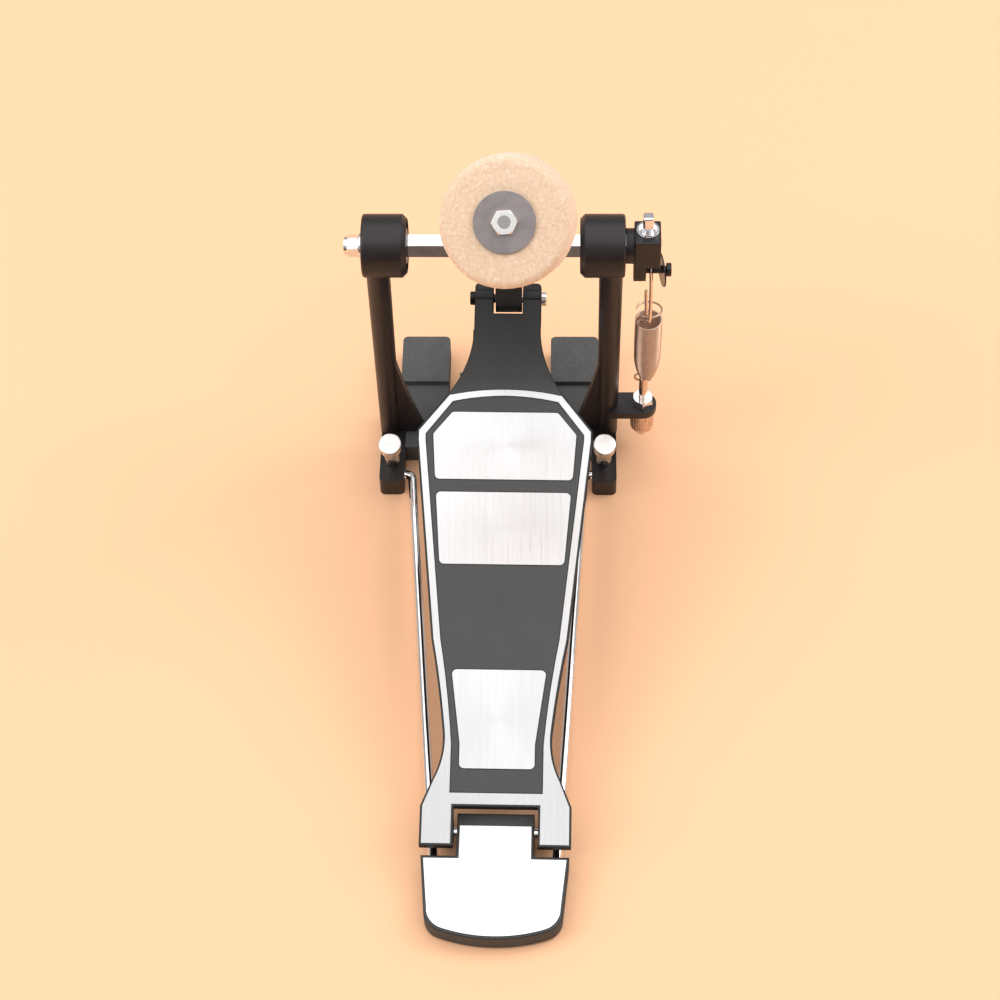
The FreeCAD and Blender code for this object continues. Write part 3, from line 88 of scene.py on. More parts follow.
class Paint:
    """One material, with short calls for the nodes that it is made of."""

    def __init__(self, name, **sockets):
        self.material = bpy.data.materials.new(name)
        self.material.use_nodes = True
        self.tree = self.material.node_tree
        self.shader = self.tree.nodes["Principled BSDF"]
        self.coords = self.node("ShaderNodeTexCoord").outputs["Object"]
        for socket, value in sockets.items():
            self.shader.inputs[socket.replace("_", " ")].default_value = value

    def node(self, kind, **settings):
        """A new node with some of its properties set."""
        made = self.tree.nodes.new(kind)
        for key, value in settings.items():
            setattr(made, key, value)
        return made

    def join(self, output, target, socket):
        """Links an output to a node's socket, and gives the node back."""
        self.tree.links.new(output, target.inputs[socket])
        return target

    def feed(self, socket, output):
        """Links an output to the material's shader."""
        self.join(output, self.shader, socket)

    def noise(self, scale, detail=3.0, stretch=(1, 1, 1), distortion=0.0):
        """Noise with about scale bumps in a metre, drawn out where stretch is small."""
        mapping = self.node("ShaderNodeMapping")
        self.join(self.coords, mapping, "Vector")
        mapping.inputs["Scale"].default_value = [scale * part for part in stretch]
        texture = self.node("ShaderNodeTexNoise")
        texture.inputs["Scale"].default_value = 1.0
        texture.inputs["Detail"].default_value = detail
        texture.inputs["Distortion"].default_value = distortion
        return self.join(mapping.outputs["Vector"], texture, "Vector").outputs["Fac"]

    def ramp(self, factor, *stops):
        """A ramp through (place, grey or colour) stops."""
        made = self.node("ShaderNodeValToRGB")
        elements = made.color_ramp.elements
        while len(elements) < len(stops):
            elements.new(0.5)
        for element, (place, colour) in zip(elements, stops):
            element.position = place
            grey = isinstance(colour, (int, float))
            element.color = (colour, colour, colour, 1) if grey else (*colour, 1)
        return self.join(factor, made, "Fac").outputs["Color"]

    def sum(self, one, other, share):
        """One value plus a share of the other."""
        made = self.node("ShaderNodeMath", operation="ADD")
        self.join(one, made, 0)
        scaled = self.node("ShaderNodeMath", operation="MULTIPLY")
        scaled.inputs[1].default_value = share
        return self.join(self.join(other, scaled, 0).outputs[0], made, 1).outputs[0]

    def measure(self, vector, direction):
        """How far a vector reaches along a direction."""
        made = self.node("ShaderNodeVectorMath", operation="DOT_PRODUCT")
        made.inputs[1].default_value = direction
        return self.join(vector, made, 0).outputs["Value"]

    def along(self, direction, start, end):
        """From 0 to 1 between two places along a direction in the object's own coordinates."""
        made = self.node("ShaderNodeMapRange")
        made.inputs["From Min"].default_value = start
        made.inputs["From Max"].default_value = end
        return self.join(self.measure(self.coords, direction), made, "Value").outputs["Result"]

    def edges(self, width):
        """White on flat ground, and black within about a width of the object's sharp edges: a mask for painted
        shade along edges and grooves.
        """
        bevel = self.node("ShaderNodeBevel", samples=6)
        bevel.inputs["Radius"].default_value = width
        made = self.node("ShaderNodeVectorMath", operation="DOT_PRODUCT")
        self.join(bevel.outputs["Normal"], made, 0)
        self.join(self.node("ShaderNodeNewGeometry").outputs["True Normal"], made, 1)
        return self.ramp(made.outputs["Value"], (0.95, 0.0), (0.995, 1.0))

    def times(self, one, other):
        """Two colours multiplied."""
        made = self.node("ShaderNodeMix", data_type="RGBA", blend_type="MULTIPLY")
        made.inputs[0].default_value = 1.0
        self.join(one, made, 6)
        return self.join(other, made, 7).outputs[2]

    def relief(self, height, depth, round_edge=0.0):
        """Bumps of a depth in metres, over edges that are rounded by round_edge."""
        bump = self.node("ShaderNodeBump")
        bump.inputs["Distance"].default_value = depth
        bump.inputs["Strength"].default_value = 1.0
        self.join(height, bump, "Height")
        if round_edge:
            bevel = self.node("ShaderNodeBevel", samples=4)
            bevel.inputs["Radius"].default_value = round_edge
            self.join(bevel.outputs["Normal"], bump, "Normal")
        self.feed("Normal", bump.outputs["Normal"])


def powder_black():
    """Satin black powder coat with a fine orange peel and dusty specks."""
    paint = Paint("powder_black", Specular_IOR_Level=0.5)
    peel = paint.noise(1300, 2)
    wide = paint.noise(120, 4)
    paint.feed("Base Color", paint.ramp(paint.noise(2600, 3), (0.35, (0.009, 0.006, 0.007)),
                                        (0.62, (0.013, 0.009, 0.011)), (0.8, (0.055, 0.050, 0.055))))
    paint.feed("Roughness", paint.ramp(paint.sum(peel, wide, 0.8), (0.55, 0.3), (1.1, 0.46)))
    paint.relief(peel, 0.04 * MM, 0.45 * MM)
    return paint.material


def sandy(name, dark, light, edge_shade_width):
    """Matte paint with a fine sandy texture, and its tone, which is black within the given width of an edge as
    painted shade along edges and grooves.
    """
    paint = Paint(name, Specular_IOR_Level=0.35)
    sand = paint.noise(2000, 3)
    wide = paint.noise(45, 3)
    tone = paint.ramp(paint.sum(sand, wide, 0.5), (0.55, dark), (0.95, light))
    # Painted shade: the tone goes to black near sharp edges, standing in for shadow in grooves and creases.
    if edge_shade_width:
        tone = paint.times(tone, paint.edges(edge_shade_width))
    paint.feed("Roughness", paint.ramp(wide, (0.3, 0.56), (0.7, 0.68)))
    paint.relief(sand, 0.03 * MM, 0.35 * MM)
    return paint, tone


def charcoal_cast(name, dark, light, edge_shade_width=0.0):
    """The matte charcoal paint of the base and the heel plate, with painted shade near its sharp edges when given
    a width.
    """
    paint, tone = sandy(name, dark, light, edge_shade_width)
    paint.feed("Base Color", tone)
    return paint.material


def board_charcoal():
    """The footboard's paint: charcoal on top, black on its edges, with painted shade within 1.3 mm of its sharp
    edges, and darker along the neck to the toe.
    """
    paint, tone = sandy("board_charcoal", 0.053, 0.076, 1.3 * MM)
    along = (centre("upper_panel") - centre("lower_panel")).normalized()
    above = Vector((1, 0, 0)).cross(along)
    normal = paint.tree.nodes["Texture Coordinate"].outputs["Normal"]
    top = paint.ramp(paint.measure(normal, above), (0.9, 0.06), (0.97, 1.0))
    neck_length = 60 * MM
    crown = along.dot(centre("border_inlay")) + size("border_inlay").y / 2
    neck = paint.along(along, crown, crown + neck_length)
    fade = paint.ramp(neck, (0.0, 1.0), (0.2, 0.68), (0.9, 0.4))
    paint.feed("Base Color", paint.times(paint.times(tone, top), fade))
    return paint.material


def brushed(name, tone, rough, heel=1.0):
    """Aluminium with fine brushing along the pedal, and darker by the factor heel at its heel end."""
    paint = Paint(name, Metallic=1.0, Anisotropic=0.35)
    lines = 5200
    heel_end, toe_end = -0.25, -0.05
    fine = paint.noise(lines, 4, (1, 0.012, 0.012))
    coarse = paint.noise(lines / 7, 3, (1, 0.02, 0.02))
    grain = paint.sum(fine, coarse, 0.6)
    colour = paint.ramp(grain, (0.55, [0.9 * part for part in tone]), (0.95, tone))
    fade = paint.ramp(paint.along((0, 1, 0), heel_end, toe_end), (0.0, heel), (1.0, 1.0))
    paint.feed("Base Color", paint.times(colour, fade))
    paint.feed("Roughness", paint.ramp(paint.sum(grain, paint.noise(30, 2), 0.4),
                                       (0.7, rough - 0.05), (1.3, rough + 0.08)))
    paint.relief(fine, 0.006 * MM, 0.12 * MM)
    return paint.material


def plated(name, tone, rough, spread=0.08, edge=0.2, specks=0.0):
    """Bright or dull plated steel, with smudges and fine rub marks."""
    paint = Paint(name, Metallic=1.0)
    smudge = paint.noise(160, 5, distortion=0.6)
    speck = paint.noise(3200, 2)
    paint.feed("Base Color", paint.ramp(paint.sum(smudge, speck, 0.5 + specks),
                                        (0.5, [(0.86 - specks) * part for part in tone]), (0.95, tone)))
    paint.feed("Roughness", paint.ramp(smudge, (0.35, rough), (0.75, rough + spread)))
    paint.relief(speck, (0.002 + 0.02 * specks) * MM, edge * MM)
    return paint.material


def knurled():
    """Dull plated steel for the knurled nut, with blotches of grime."""
    paint = Paint("knurled_plate", Metallic=1.0)
    smudge = paint.noise(420, 4)
    paint.feed("Base Color", paint.ramp(smudge, (0.35, (0.62, 0.47, 0.38)), (0.65, (0.86, 0.68, 0.56))))
    paint.feed("Roughness", paint.ramp(smudge, (0.3, 0.4), (0.7, 0.28)))
    paint.relief(paint.noise(2500, 2), 0.004 * MM, 0.15 * MM)
    return paint.material


def threaded(name, pitch, axis):
    """Plated steel with a screw thread of a pitch round an axis, as fine rings of bumps and of painted shade in
    the grooves.
    """
    paint = Paint(name, Metallic=1.0)
    wave = paint.node("ShaderNodeMath", operation="PINGPONG")
    wave.inputs[1].default_value = 0.5
    ridge = paint.join(paint.measure(paint.coords, Vector(axis) / pitch), wave, 0).outputs[0]
    # The dark bands between the bright rings are painted shade in the thread's grooves.
    paint.feed("Base Color", paint.ramp(ridge, (0.0, (0.42, 0.34, 0.3)), (0.4, (0.97, 0.96, 0.95))))
    paint.feed("Roughness", paint.ramp(paint.noise(300, 3), (0.3, 0.16), (0.7, 0.3)))
    paint.relief(ridge, pitch * 0.35)
    return paint.material


def half_plated():
    """A pin that is bright at its right end and still black at its left."""
    paint = Paint("half_plated", Metallic=1.0, Roughness=0.16)
    middle = centre("strap_run").x
    side = paint.along((1, 0, 0), middle - 1 * MM, middle + 1 * MM)
    tone = paint.ramp(side, (0.0, 0.03), (1.0, 0.88))
    rub = paint.ramp(paint.noise(900, 3), (0.3, 0.8), (0.7, 1.0))
    paint.feed("Base Color", paint.times(tone, rub))
    paint.relief(paint.noise(2500, 2), 0.003 * MM, 0.2 * MM)
    return paint.material


def wool_felt():
    """Dense cream felt: mottled, with short fibres lying every way and a few dark specks."""
    paint = Paint("wool_felt", Roughness=0.96, Sheen_Weight=0.35, Sheen_Roughness=0.6,
                  Specular_IOR_Level=0.15, Subsurface_Weight=0.08, Subsurface_Scale=0.002)
    mottle = paint.noise(700, 5, distortion=0.5)
    fibre = paint.noise(2200, 4, (1, 1, 0.4), 1.5)
    body = paint.sum(mottle, fibre, 0.7)
    paint.feed("Base Color", paint.ramp(body, (0.5, (0.65, 0.45, 0.27)), (0.72, (0.76, 0.55, 0.38)),
                                        (0.92, (0.80, 0.60, 0.43)), (1.15, (0.86, 0.69, 0.54))))
    paint.relief(body, 0.14 * MM)
    return paint.material


def strap_weave():
    """Tightly woven black nylon, with cross ribs under a worn sheen."""
    paint = Paint("strap_weave", Sheen_Weight=0.25, Sheen_Roughness=0.4, Specular_IOR_Level=0.45)
    across = paint.node("ShaderNodeTexWave", bands_direction="X", wave_profile="SIN")
    across.inputs["Scale"].default_value = 340
    paint.join(paint.coords, across, "Vector")
    along = paint.node("ShaderNodeTexWave", bands_direction="Z", wave_profile="SIN")
    along.inputs["Scale"].default_value = 460
    paint.join(paint.coords, along, "Vector")
    weave = paint.sum(across.outputs["Fac"], along.outputs["Fac"], 0.8)
    paint.feed("Base Color", paint.ramp(paint.sum(weave, paint.noise(500, 3), 0.5),
                                        (0.3, (0.008, 0.007, 0.008)), (1.6, (0.022, 0.019, 0.02))))
    paint.feed("Roughness", paint.ramp(paint.noise(350, 3), (0.3, 0.42), (0.7, 0.6)))
    paint.relief(weave, 0.09 * MM)
    return paint.material


def thread_black():
    """Spun black thread, a little lighter than the strap."""
    paint = Paint("stitch_thread", Roughness=0.7, Sheen_Weight=0.3)
    paint.feed("Base Color", paint.ramp(paint.noise(3000, 2), (0.3, (0.02, 0.018, 0.018)),
                                        (0.7, (0.05, 0.046, 0.045))))
    return paint.material


def pad_rubber():
    """Dark grey rubber, dusty and matte."""
    paint = Paint("pad_rubber", Specular_IOR_Level=0.3)
    dust = paint.noise(900, 4)
    wide = paint.noise(70, 3)
    paint.feed("Base Color", paint.ramp(paint.sum(dust, wide, 0.6), (0.6, 0.075), (1.1, 0.105)))
    paint.feed("Roughness", paint.ramp(wide, (0.3, 0.68), (0.7, 0.82)))
    paint.relief(dust, 0.02 * MM, 0.4 * MM)
    return paint.material


def oiled_black():
    """Blackened steel with a thin gloss of oil."""
    paint = Paint("oiled_black", Metallic=0.4, Specular_IOR_Level=0.6)
    wear = paint.noise(700, 4)
    paint.feed("Base Color", paint.ramp(wear, (0.4, (0.014, 0.013, 0.013)), (0.75, (0.045, 0.041, 0.04))))
    paint.feed("Roughness", paint.ramp(wear, (0.3, 0.22), (0.7, 0.38)))
    paint.relief(wear, 0.01 * MM, 0.25 * MM)
    return paint.material


def plain_floor():
    """A plain pale peach floor."""
    paint = Paint("plain_floor", Roughness=0.9, Specular_IOR_Level=0.1)
    paint.feed("Base Color", paint.ramp(paint.noise(2.0, 2), (0.0, (0.98, 0.565, 0.335)),
                                        (1.0, (0.99, 0.58, 0.35))))
    return paint.material


# Mesh helpers


def mesh_object(name, points, faces, material, smooth=True):
    """A new object in the scene from points and faces, with one material."""
    data = bpy.data.meshes.new(name)
    data.from_pydata([tuple(point) for point in points], [], faces)
    data.materials.append(material)
    data.polygons.foreach_set("use_smooth", [smooth] * len(data.polygons))
    data.validate()
    made = bpy.data.objects.new(name, data)
    bpy.context.scene.collection.objects.link(made)
    return made


def smooth_path(keys, step):
    """Points along a smooth curve through the keys, about a step apart."""
    ends = [keys[0] * 2 - keys[1], *keys, keys[-1] * 2 - keys[-2]]
    points = []
    for before, start, end, after in zip(ends, ends[1:], ends[2:], ends[3:]):
        count = max(1, round((end - start).length / step))
        for number in range(count):
            t = number / count
            bend = 2 * before - 5 * start + 4 * end - after
            twist = 3 * start - before - 3 * end + after
            points.append(0.5 * (2 * start + (end - before) * t + bend * t * t + twist * t ** 3))
    return points + [keys[-1]]


def ring_faces(rings, count, closed=False):
    """Four-sided faces between rings of count points each, and back round to the first ring if closed."""
    faces = []
    for ring in range(rings if closed else rings - 1):
        after = (ring + 1) % rings
        for k in range(count):
            other = (k + 1) % count
            faces.append((ring * count + k, ring * count + other, after * count + other, after * count + k))
    return faces


def end_faces(rings, count):
    """The two faces that close the first and the last ring."""
    return [tuple(reversed(range(count))), tuple(range((rings - 1) * count, rings * count))]


def fix_normals(piece):
    """Turns every face outwards."""
    mesh = bmesh.new()
    mesh.from_mesh(piece.data)
    bmesh.ops.recalc_face_normals(mesh, faces=mesh.faces)
    mesh.to_mesh(piece.data)
    mesh.free()


def swept(name, path, section, material, first_side=None, taper=None):
    """A solid drawn along a path. section is a closed loop of (side, out) offsets."""
    points = []
    direction = (path[1] - path[0]).normalized()
    side = first_side or direction.orthogonal().normalized()
    for number, point in enumerate(path):
        before, after = path[max(0, number - 1)], path[min(len(path) - 1, number + 1)]
        direction = (after - before).normalized()
        side = (side - direction * side.dot(direction)).normalized()
        out = direction.cross(side)
        scale = taper(number) if taper else 1.0
        points += [point + (side * u + out * v) * scale for u, v in section]
    faces = ring_faces(len(path), len(section)) + end_faces(len(path), len(section))
    return mesh_object(name, points, faces, material)


def circle(radius, sides):
    """A round section."""
    angles = [math.tau * k / sides for k in range(sides)]
    return [(radius * math.cos(angle), radius * math.sin(angle)) for angle in angles]


def wire(name, path, radius, material, sides):
    """A round wire with rounded tips."""
    last = len(path) - 1

    def tip(number):
        near = min((path[number] - path[0]).length, (path[number] - path[last]).length)
        return 0.25 + 0.75 * math.sqrt(max(0.0, 1 - (1 - min(1.0, near / radius)) ** 2))

    return swept(name, path, circle(radius, sides), material, taper=tip)


def ribbon_section(half_width, half_thick, edge):
    """A flat section with corners rounded to the radius edge."""
    loop = []
    for x_sign, y_sign, start in ((1, 1, 0), (-1, 1, 90), (-1, -1, 180), (1, -1, 270)):
        for turn in range(0, 91, 30):
            angle = math.radians(start + turn)
            loop.append((x_sign * (half_width - edge) + edge * math.cos(angle),
                         y_sign * (half_thick - edge) + edge * math.sin(angle)))
    return loop


def joined(name, parts):
    """Several meshes as one piece."""
    bpy.ops.object.select_all(action="DESELECT")
    for part in parts:
        part.select_set(True)
    bpy.context.view_layer.objects.active = parts[0]
    bpy.ops.object.join()
    parts[0].name = name
    return parts[0]


# The camera and the light


def camera():
    """The photograph's viewpoint: high in front of the heel, looking down the footboard."""
    place = Vector((0.03491, -0.87589, 1.10819))
    yaw, down, roll = math.radians(-2.32), math.radians(53.0), math.radians(-1.68)
    forward = Vector((math.sin(yaw) * math.cos(down), math.cos(yaw) * math.cos(down), -math.sin(down)))
    level = Vector((math.cos(yaw), -math.sin(yaw), 0))
    upward = level.cross(forward)
    right = level * math.cos(roll) + upward * math.sin(roll)
    up = upward * math.cos(roll) - level * math.sin(roll)
    data = bpy.data.cameras.new("camera")
    data.lens, data.sensor_width = 90.0, 36.0
    data.clip_start, data.clip_end = 0.05, 20
    made = bpy.data.objects.new("camera", data)
    turn = Matrix((right, up, -forward)).transposed().to_4x4()
    made.matrix_world = Matrix.Translation(place) @ turn
    bpy.context.scene.collection.objects.link(made)
    bpy.context.scene.camera = made


def softbox(name, place, aim, width, depth, power):
    """A white area light of width by depth metres and power watts, turned to aim."""
    data = bpy.data.lights.new(name, "AREA")
    data.shape, data.size, data.size_y = "RECTANGLE", width, depth
    data.energy = power
    made = bpy.data.objects.new(name, data)
    made.location = place
    made.rotation_euler = (Vector(aim) - Vector(place)).to_track_quat("-Z", "Y").to_euler()
    bpy.context.scene.collection.objects.link(made)


def studio():
    """A pale floor, one broad overhead softbox, two side softboxes and a dark card that shows only in reflections:
    a painted dark reflection on the bright metal.
    """
    reach = 6.0
    corners = [(-reach, -reach, 0), (reach, -reach, 0), (reach, reach, 0), (-reach, reach, 0)]
    floor = mesh_object("floor", corners, [(0, 1, 2, 3)], plain_floor(), smooth=False)
    floor.location.z = cad_low.z
    # The dark card is hidden from the camera, from diffuse light and from shadows; it is a painted dark reflection
    # on the bright metal.
    side, front, height = 0.8, -0.55, 0.3
    card = [(-side, front, 0), (side, front, 0), (side, front, height), (-side, front, height)]
    paint = Paint("dark_reflection_cloth", Roughness=1.0)
    paint.feed("Base Color", paint.ramp(paint.noise(5, 2), (0.0, 0.1), (1.0, 0.14)))
    dark_reflection_card = mesh_object("dark_reflection_card", card, [(0, 1, 2, 3)], paint.material, smooth=False)
    dark_reflection_card.visible_camera = dark_reflection_card.visible_diffuse = dark_reflection_card.visible_shadow = False
    softbox("overhead", (0.0, 0.05, 2.0), (0, 0.05, 0), width=3.4, depth=3.2, power=41)
    softbox("left", (-2.0, -0.5, 1.5), (0, 0, 0.05), width=1.3, depth=1.3, power=20)
    softbox("right", (1.9, 0.5, 1.6), (0, 0, 0.05), width=1.3, depth=1.3, power=21)
    world = bpy.data.worlds.new("studio")
    world.use_nodes = True
    background = world.node_tree.nodes["Background"]
    background.inputs["Color"].default_value = (1.0, 0.97, 0.94, 1)
    background.inputs["Strength"].default_value = 0.45
    bpy.context.scene.world = world
    bpy.context.scene.view_settings.view_transform = "Standard"


# The pieces


def rod_direction():
    """The way out along the beater's rod."""
    return Vector(JOINTS["beater_height"]["axis"]).normalized()


def felt_profile(bore, radius, half):
    """The puck's outline as (radius, height): from the bore, over the back, side and front to the bore."""
    soft, bulge = 3.6 * MM, 0.35 * MM
    flat = radius - soft
    face_steps, side_steps = 16, 22
    profile = [(bore, -half)]
    profile += [(bore + (flat - bore) * k / face_steps, -half) for k in range(1, face_steps + 1)]
    profile += [(flat + soft * math.sin(math.radians(a)), -half + soft - soft * math.cos(math.radians(a)))
                for a in range(10, 91, 10)]
    profile += [(radius + bulge * math.sin(math.pi * k / side_steps),
                 -half + soft + 2 * (half - soft) * k / side_steps) for k in range(1, side_steps)]
    profile += [(flat + soft * math.cos(math.radians(a)), half - soft + soft * math.sin(math.radians(a)))
                for a in range(0, 91, 10)]
    profile += [(flat - (flat - bore) * k / face_steps, half) for k in range(1, face_steps + 1)]
    return profile


def felt_puck(material):
    """The felt head: a pressed puck with soft edges, drawn in a little where the washers grip it."""
    out = rod_direction()
    across = Vector((1, 0, 0))
    up = out.cross(across).normalized()
    if up.z < 0:
        up = -up
    radius = size("felt_beater").x / 2
    middle = centre("felt_beater")
    washer_thick, bore = 1.4 * MM, 4.9 * MM
    half = ((centre("outer_washer") - centre("inner_washer")).length - washer_thick) / 2
    washer = size("outer_washer").x / 2
    skew = (across * 3.2 + up * 1.8) * MM
    profile = felt_profile(bore, radius, half)
    turns = 220
    points = []
    for r, u in profile:
        beyond = r - washer
        puff = 0.0
        if beyond > 0:
            fall = max(0.0, 1 - beyond / (radius - washer))
            puff = 0.5 * MM * (1 - math.exp(-beyond / (1.5 * MM))) * fall
        grip = min(1.0, max(0.0, beyond / (2.5 * MM)))
        for k in range(turns):
            angle = math.tau * k / turns
            spoke = across * math.cos(angle) + up * math.sin(angle)
            here = middle + spoke * r + out * (u + puff * math.copysign(1, u))
            here += skew * (half - u) / (2 * half)
            lump = noise.noise(here * 90) * 0.25 + noise.noise(here * 300) * 0.1
            lump += noise.noise(here * 1100) * 0.12
            away = (spoke * min(1.0, r / radius) + out * (u / half)).normalized()
            points.append(here + away * lump * MM * grip)
    faces = ring_faces(len(profile), turns, closed=True)
    puck = mesh_object("felt_head", points, faces, material)
    fix_normals(puck)
    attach(puck, "beater")
    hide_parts("felt_beater")
    return puck


def rod_tip(bright, dark):
    """The rod's dished end in the nut, with a groove round a turned pip; the groove is painted shade in dark
    steel.
    """
    out = rod_direction()
    rod_top = (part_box("beater_rod")[1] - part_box("beater_nut")[1]).z / out.z
    end = centre("beater_nut") + out * (rod_top + 2.6 * MM)
    across = Vector((1, 0, 0))
    up = out.cross(across)
    profile = [(2.9, -0.9), (2.9, -0.3), (2.6, -0.1), (2.3, -0.3), (2.1, -0.8), (1.8, -0.8), (1.6, -0.2),
               (1.1, 0.15), (0.6, 0.35), (0.15, 0.4)]
    turns = 40
    points = []
    for r, u in profile:
        for k in range(turns):
            spoke = across * math.cos(math.tau * k / turns) + up * math.sin(math.tau * k / turns)
            points.append(end + spoke * r * MM + out * u * MM)
    faces = ring_faces(len(profile), turns) + end_faces(len(profile), turns)
    tip = mesh_object("rod_tip", points, faces, bright)
    # The groove's faces get the dark material as painted shade in the recess.
    tip.data.materials.append(dark)
    groove_inner, groove_outer = 1.7 * MM, 2.4 * MM
    for face in tip.data.polygons:
        reach = (face.center - end).cross(out).length
        face.material_index = int(groove_inner < reach < groove_outer)
    fix_normals(tip)
    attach(tip, "beater")


def felt_fuzz(puck, material):
    """Short loose fibres that stand off the felt's surface, on every third face outside the washers."""
    middle_of_felt = centre("felt_beater")
    bare = size("outer_washer").x / 2 + 2 * MM
    half_thick = 0.035 * MM
    noise.seed_set(1)  # without a seed, noise_vector differs from run to run
    points, faces = [], []
    for number in range(0, len(puck.data.polygons), 3):
        face = puck.data.polygons[number]
        start, normal = face.center.copy(), face.normal.copy()
        if (start - middle_of_felt).length < bare:
            continue
        spot = Vector((number * 0.37, number * 0.11, number * 0.73))
        lean = noise.noise_vector(spot) * 1.3
        length = (0.3 + 0.4 * abs(noise.noise(spot * 1.7))) * MM
        tip = start + (normal * 0.7 + lean).normalized() * length
        side = (tip - start).cross(normal + Vector((0.01, 0.02, 0.03))).normalized() * half_thick
        middle = (start + tip) / 2 + normal * length * 0.12
        base = len(points)
        points += [start - side, start + side, middle + side * 0.8, middle - side * 0.8, tip]
        faces += [(base, base + 1, base + 2, base + 3), (base + 3, base + 2, base + 4)]
    fuzz = mesh_object("felt_fuzz", points, faces, material)
    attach(fuzz, "beater")


def coil_spring(material):
    """The return spring: close coils that narrow to the bolt's eye, and a loose turn on top for the hook."""
    low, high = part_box("spring")
    middle = (low + high) / 2
    radius = (high.x - low.x) / 2
    gauge = 0.58 * MM
    pitch = 1.42 * MM
    foot, shoulder = 4.2 * MM - gauge, radius - gauge
    waist = low.z + 18.4 * MM
    bolt = centre("eye_bolt")
    eye = Vector((bolt.x, bolt.y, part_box("eye_bolt")[1].z - 3.0 * MM))
    bottom, top = low.z + gauge, high.z - gauge
    turns = (top - bottom) / pitch
    per_turn = 26
    hooked = ((4.1, 0, 0.8), (2.6, 0, 0), (0, 0, 0), (-2.6, 0, 0), (-4.6, 0.3, 1.4), (-4.5, 0.6, 3.4))
    keys = [eye + Vector(offset) * MM for offset in hooked]

    def barrel(z):
        share = min(1.0, max(0.0, (z - bottom) / (waist - bottom)))
        bulge = math.sin(math.pi * min(1.0, max(0.0, (z - waist) / (top - waist)))) * 0.12 * MM
        return foot + (shoulder - foot) * math.sin(share * math.pi / 2) ** 0.9 + bulge

    path = []
    steps = round(turns * per_turn)
    for number in range(steps + 1):
        z = bottom + (top - bottom) * number / steps
        angle = math.pi + math.tau * turns * (number / steps - 1)
        reach = barrel(z)
        path.append(Vector((middle.x + reach * math.cos(angle), middle.y + reach * math.sin(angle), z)))
    lead = smooth_path(keys + [path[2]], 0.35 * MM)
    path = lead[:-1] + path[3:]
    tilt, rise, sweep = math.radians(10.5), math.radians(60), math.radians(352)
    ring_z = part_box("spring_ring")[1].z - gauge - math.sin(tilt) * shoulder
    steps = 40
    for number in range(1, steps + 1):
        turned = sweep * number / steps
        part = min(1.0, turned / rise)
        lift = part * part * (3 - 2 * part)
        x = shoulder * math.cos(math.pi + turned)
        y = shoulder * math.sin(math.pi + turned)
        plane = ring_z - y * math.sin(tilt)
        z = top + (plane - top) * lift
        path.append(Vector((middle.x + x, middle.y + y * math.cos(tilt), z)))
    spring = wire("coil_spring", path, gauge, material, 11)
    fix_normals(spring)
    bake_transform(spring)
    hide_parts("spring", "spring_ring")


def wire_hook(material):
    """The bent wire from rocker to spring: curled over the rocker's pin, and turned up under the ring."""
    pin = Vector(JOINTS["hook_swing"]["pos_m"])
    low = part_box("spring_hook")[0]
    gauge = 0.95 * MM
    head = 3.05 * MM
    foot = 2.4 * MM
    end = Vector((pin.x, low.y + gauge + foot * 0.95, low.z + gauge + foot))
    down = (end - pin).normalized()
    front = Vector((0, down.z, -down.y))
    left = Vector((-1, 0, 0))
    keys = []
    for angle in range(-70, 181, 25):
        a = math.radians(angle)
        aside = left * 0.55 * MM * (1 - (angle + 70) / 250)
        keys.append(pin + (front * -math.cos(a) - down * math.sin(a)) * head + aside)
    span = (end - pin).length
    for share in (0.3, 0.55, 0.8):
        keys.append(pin + down * span * share + front * (head + (foot - head) * share) - left * 0.25 * MM)
    for angle in range(0, 181, 30):
        a = math.radians(angle)
        keys.append(end + (front * math.cos(a) + down * math.sin(a)) * foot + left * 1.5 * MM * angle / 180)
    for share in (0.2, 0.4, 0.52):
        aside = left * (1.6 + 0.8 * share) * MM
        keys.append(end - down * span * share - front * (foot + (head - foot) * share) + aside)
    hook = wire("wire_hook", smooth_path(keys, 0.5 * MM), gauge, material, 12)
    fix_normals(hook)
    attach(hook, "spring_hook")
    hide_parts("spring_hook")


def strap(material, thread):
    """A doubled woven strap: clamped on the cam, down to a sewn loop round the toe pin and back up."""
    axle = Vector(JOINTS["shaft_swing"]["pos_m"])
    low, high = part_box("strap_run")
    thick = 1.16 * MM
    half = (high.x - low.x) / 2
    x = (high.x + low.x) / 2
    toe = Vector((x, centre("toe_pin").y, centre("toe_pin").z))
    cam, gap = 20.1 * MM, 0.04 * MM
    inner, outer = cam + thick / 2, cam + 1.5 * thick + gap
    neck = toe.z + 11 * MM

    def on_cam(reach, angle):
        a = math.radians(angle)
        return Vector((x, axle.y + reach * math.cos(a), axle.z + reach * math.sin(a)))

    drop = [axle.z - 8 * MM * k for k in range(1, 7) if axle.z - 8 * MM * k > neck + 5 * MM]
    loop = toe.z - low.z - thick / 2
    keys = [on_cam(inner, angle) for angle in range(66, -1, -6)]
    keys += [Vector((x, axle.y + inner, z)) for z in drop]
    keys.append(Vector((x, toe.y - 2.4 * MM, neck)))
    keys += [toe + Vector((0, math.cos(math.radians(a)), math.sin(math.radians(a)))) * loop
             for a in range(154, 388, 18)]
    keys.append(Vector((x, toe.y + 2.6 * MM, neck)))
    keys += [Vector((x, axle.y + outer, z)) for z in reversed(drop)]
    keys += [on_cam(outer, angle) for angle in range(0, 65, 6)]
    band = swept("strap", smooth_path(keys, 0.9 * MM), ribbon_section(half, thick / 2, 0.42 * MM), material,
                 first_side=Vector((1, 0, 0)))
    fix_normals(band)
    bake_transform(band)
    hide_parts("strap_wrap", "strap_run")
    seam_low = Vector((x, 0, toe.z + 17 * MM))
    strap_seam(seam_low, ((axle.y + inner - thick / 2, -1), (axle.y + outer + thick / 2, 1)), thread)


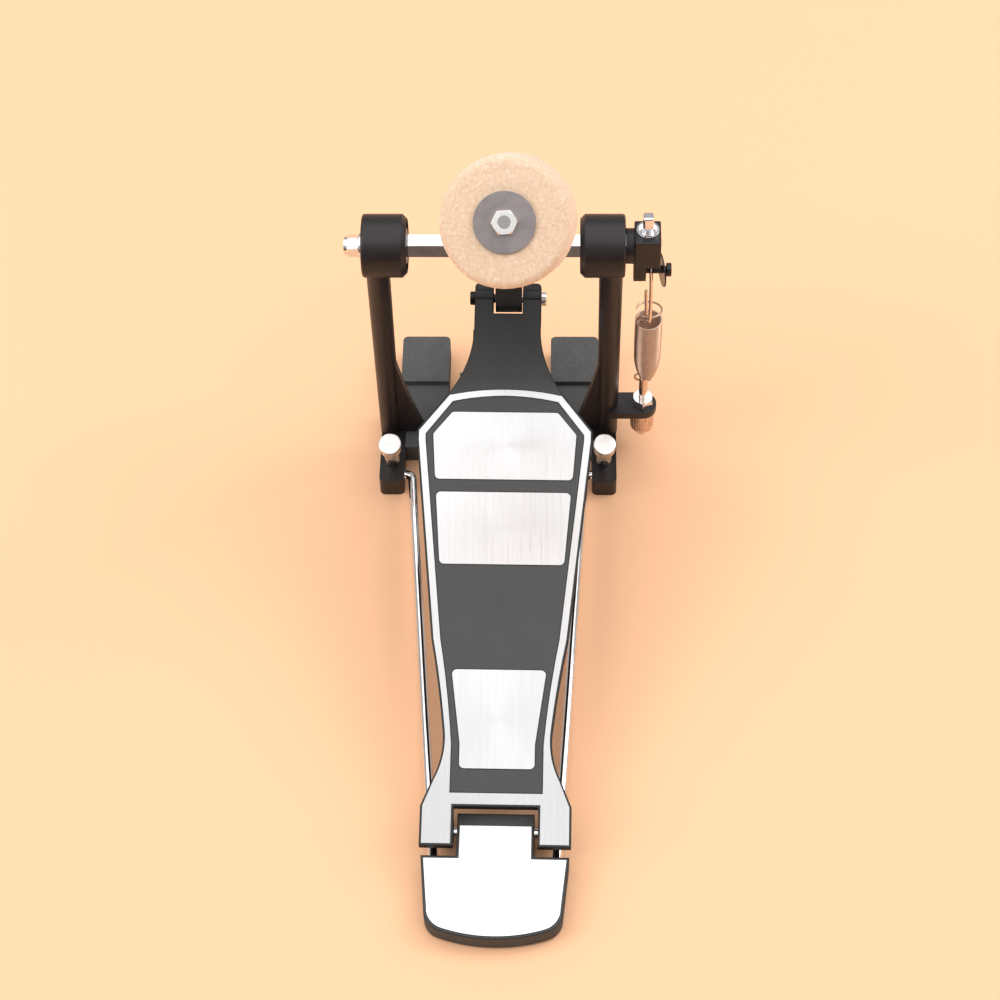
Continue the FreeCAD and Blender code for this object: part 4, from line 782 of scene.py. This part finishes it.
def strap_seam(low, faces, thread):
    """Two rows of seven stitches above low, on the strap's faces, which are given as (y, way out)."""
    gauge, row_pitch, column_pitch = 0.18 * MM, 2.6 * MM, 1.75 * MM
    stitch = ((-0.55, -0.12, 0), (-0.3, 0.1, 0), (0.3, 0.1, 0.05), (0.55, -0.12, 0.05))
    stitches = []
    for row in range(2):
        for column in range(7):
            for face, outwards in faces:
                start = Vector((low.x + (column - 3) * column_pitch, face, low.z + row * row_pitch))
                path = [start + Vector((across, out * outwards, up)) * MM for across, out, up in stitch]
                stitches.append(wire("stitch", smooth_path(path, 0.2 * MM), gauge, thread, 6))
    seam = joined("strap_stitches", stitches)
    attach(seam, "strap_run")


def finish_cad(looks):
    """Gives every CAD node that still shows the material of its slot, or its own."""
    slots = {part["node"]: part["material_slot"] for part in frame["record"]["subparts"]}
    for name, node in frame["nodes"].items():
        material = looks.get(name) or looks[slots[name]]
        for slot in node.material_slots:
            slot.material = material
        if not node.material_slots:
            node.data.materials.append(material)


def build():
    """Everything, from the camera to the last piece."""
    camera()
    studio()
    chrome = plated("chrome", (0.88, 0.88, 0.9), 0.06, 0.03)
    nut_plate = plated("nut_plate", (0.97, 0.95, 0.93), 0.3, 0.1)
    zinc = plated("zinc", (0.37, 0.33, 0.33), 0.36, 0.06, 0.3, specks=0.12)
    steel = plated("spring_steel", (0.68, 0.5, 0.39), 0.3, 0.1, 0.0)
    warm_wire = plated("warm_wire", (0.8, 0.66, 0.56), 0.12, 0.08)
    felt = wool_felt()
    spur = threaded("spur_thread", 1.25 * MM, JOINTS["left_spur_travel"]["axis"])
    looks = {
        # heel_charcoal has painted shade within 1.2 mm of its sharp edges; base_charcoal has none.
        "black_cast": powder_black(), "board_cast": charcoal_cast("heel_charcoal", 0.05, 0.075, 1.2 * MM),
        "footboard": board_charcoal(), "base_casting": charcoal_cast("base_charcoal", 0.06, 0.085),
        "left_spur_screw": spur, "right_spur_screw": spur,
        "bright_inlay": brushed("brushed_inlay", (0.73, 0.735, 0.745), 0.3, 0.82),
        "border_inlay": brushed("brushed_border", (0.76, 0.765, 0.77), 0.3, 0.7),
        "heel_tread": brushed("brushed_tread", (0.93, 0.93, 0.935), 0.34),
        "eye_bolt": warm_wire, "toe_pin": half_plated(), "chrome": chrome, "spring_steel": steel,
        "black_steel": oiled_black(), "bearing_steel": plated("bearing_steel", (0.2, 0.2, 0.21), 0.3, 0.15),
        "felt": felt, "strap_web": strap_weave(), "grey_rubber": pad_rubber(),
        "inner_washer": zinc, "outer_washer": zinc, "beater_nut": nut_plate, "tension_knob": knurled(),
    }
    puck = felt_puck(felt)
    felt_fuzz(puck, felt)
    rod_tip(chrome, looks["black_steel"])
    coil_spring(steel)
    wire_hook(warm_wire)
    strap(looks["strap_web"], thread_black())
    finish_cad(looks)


build()
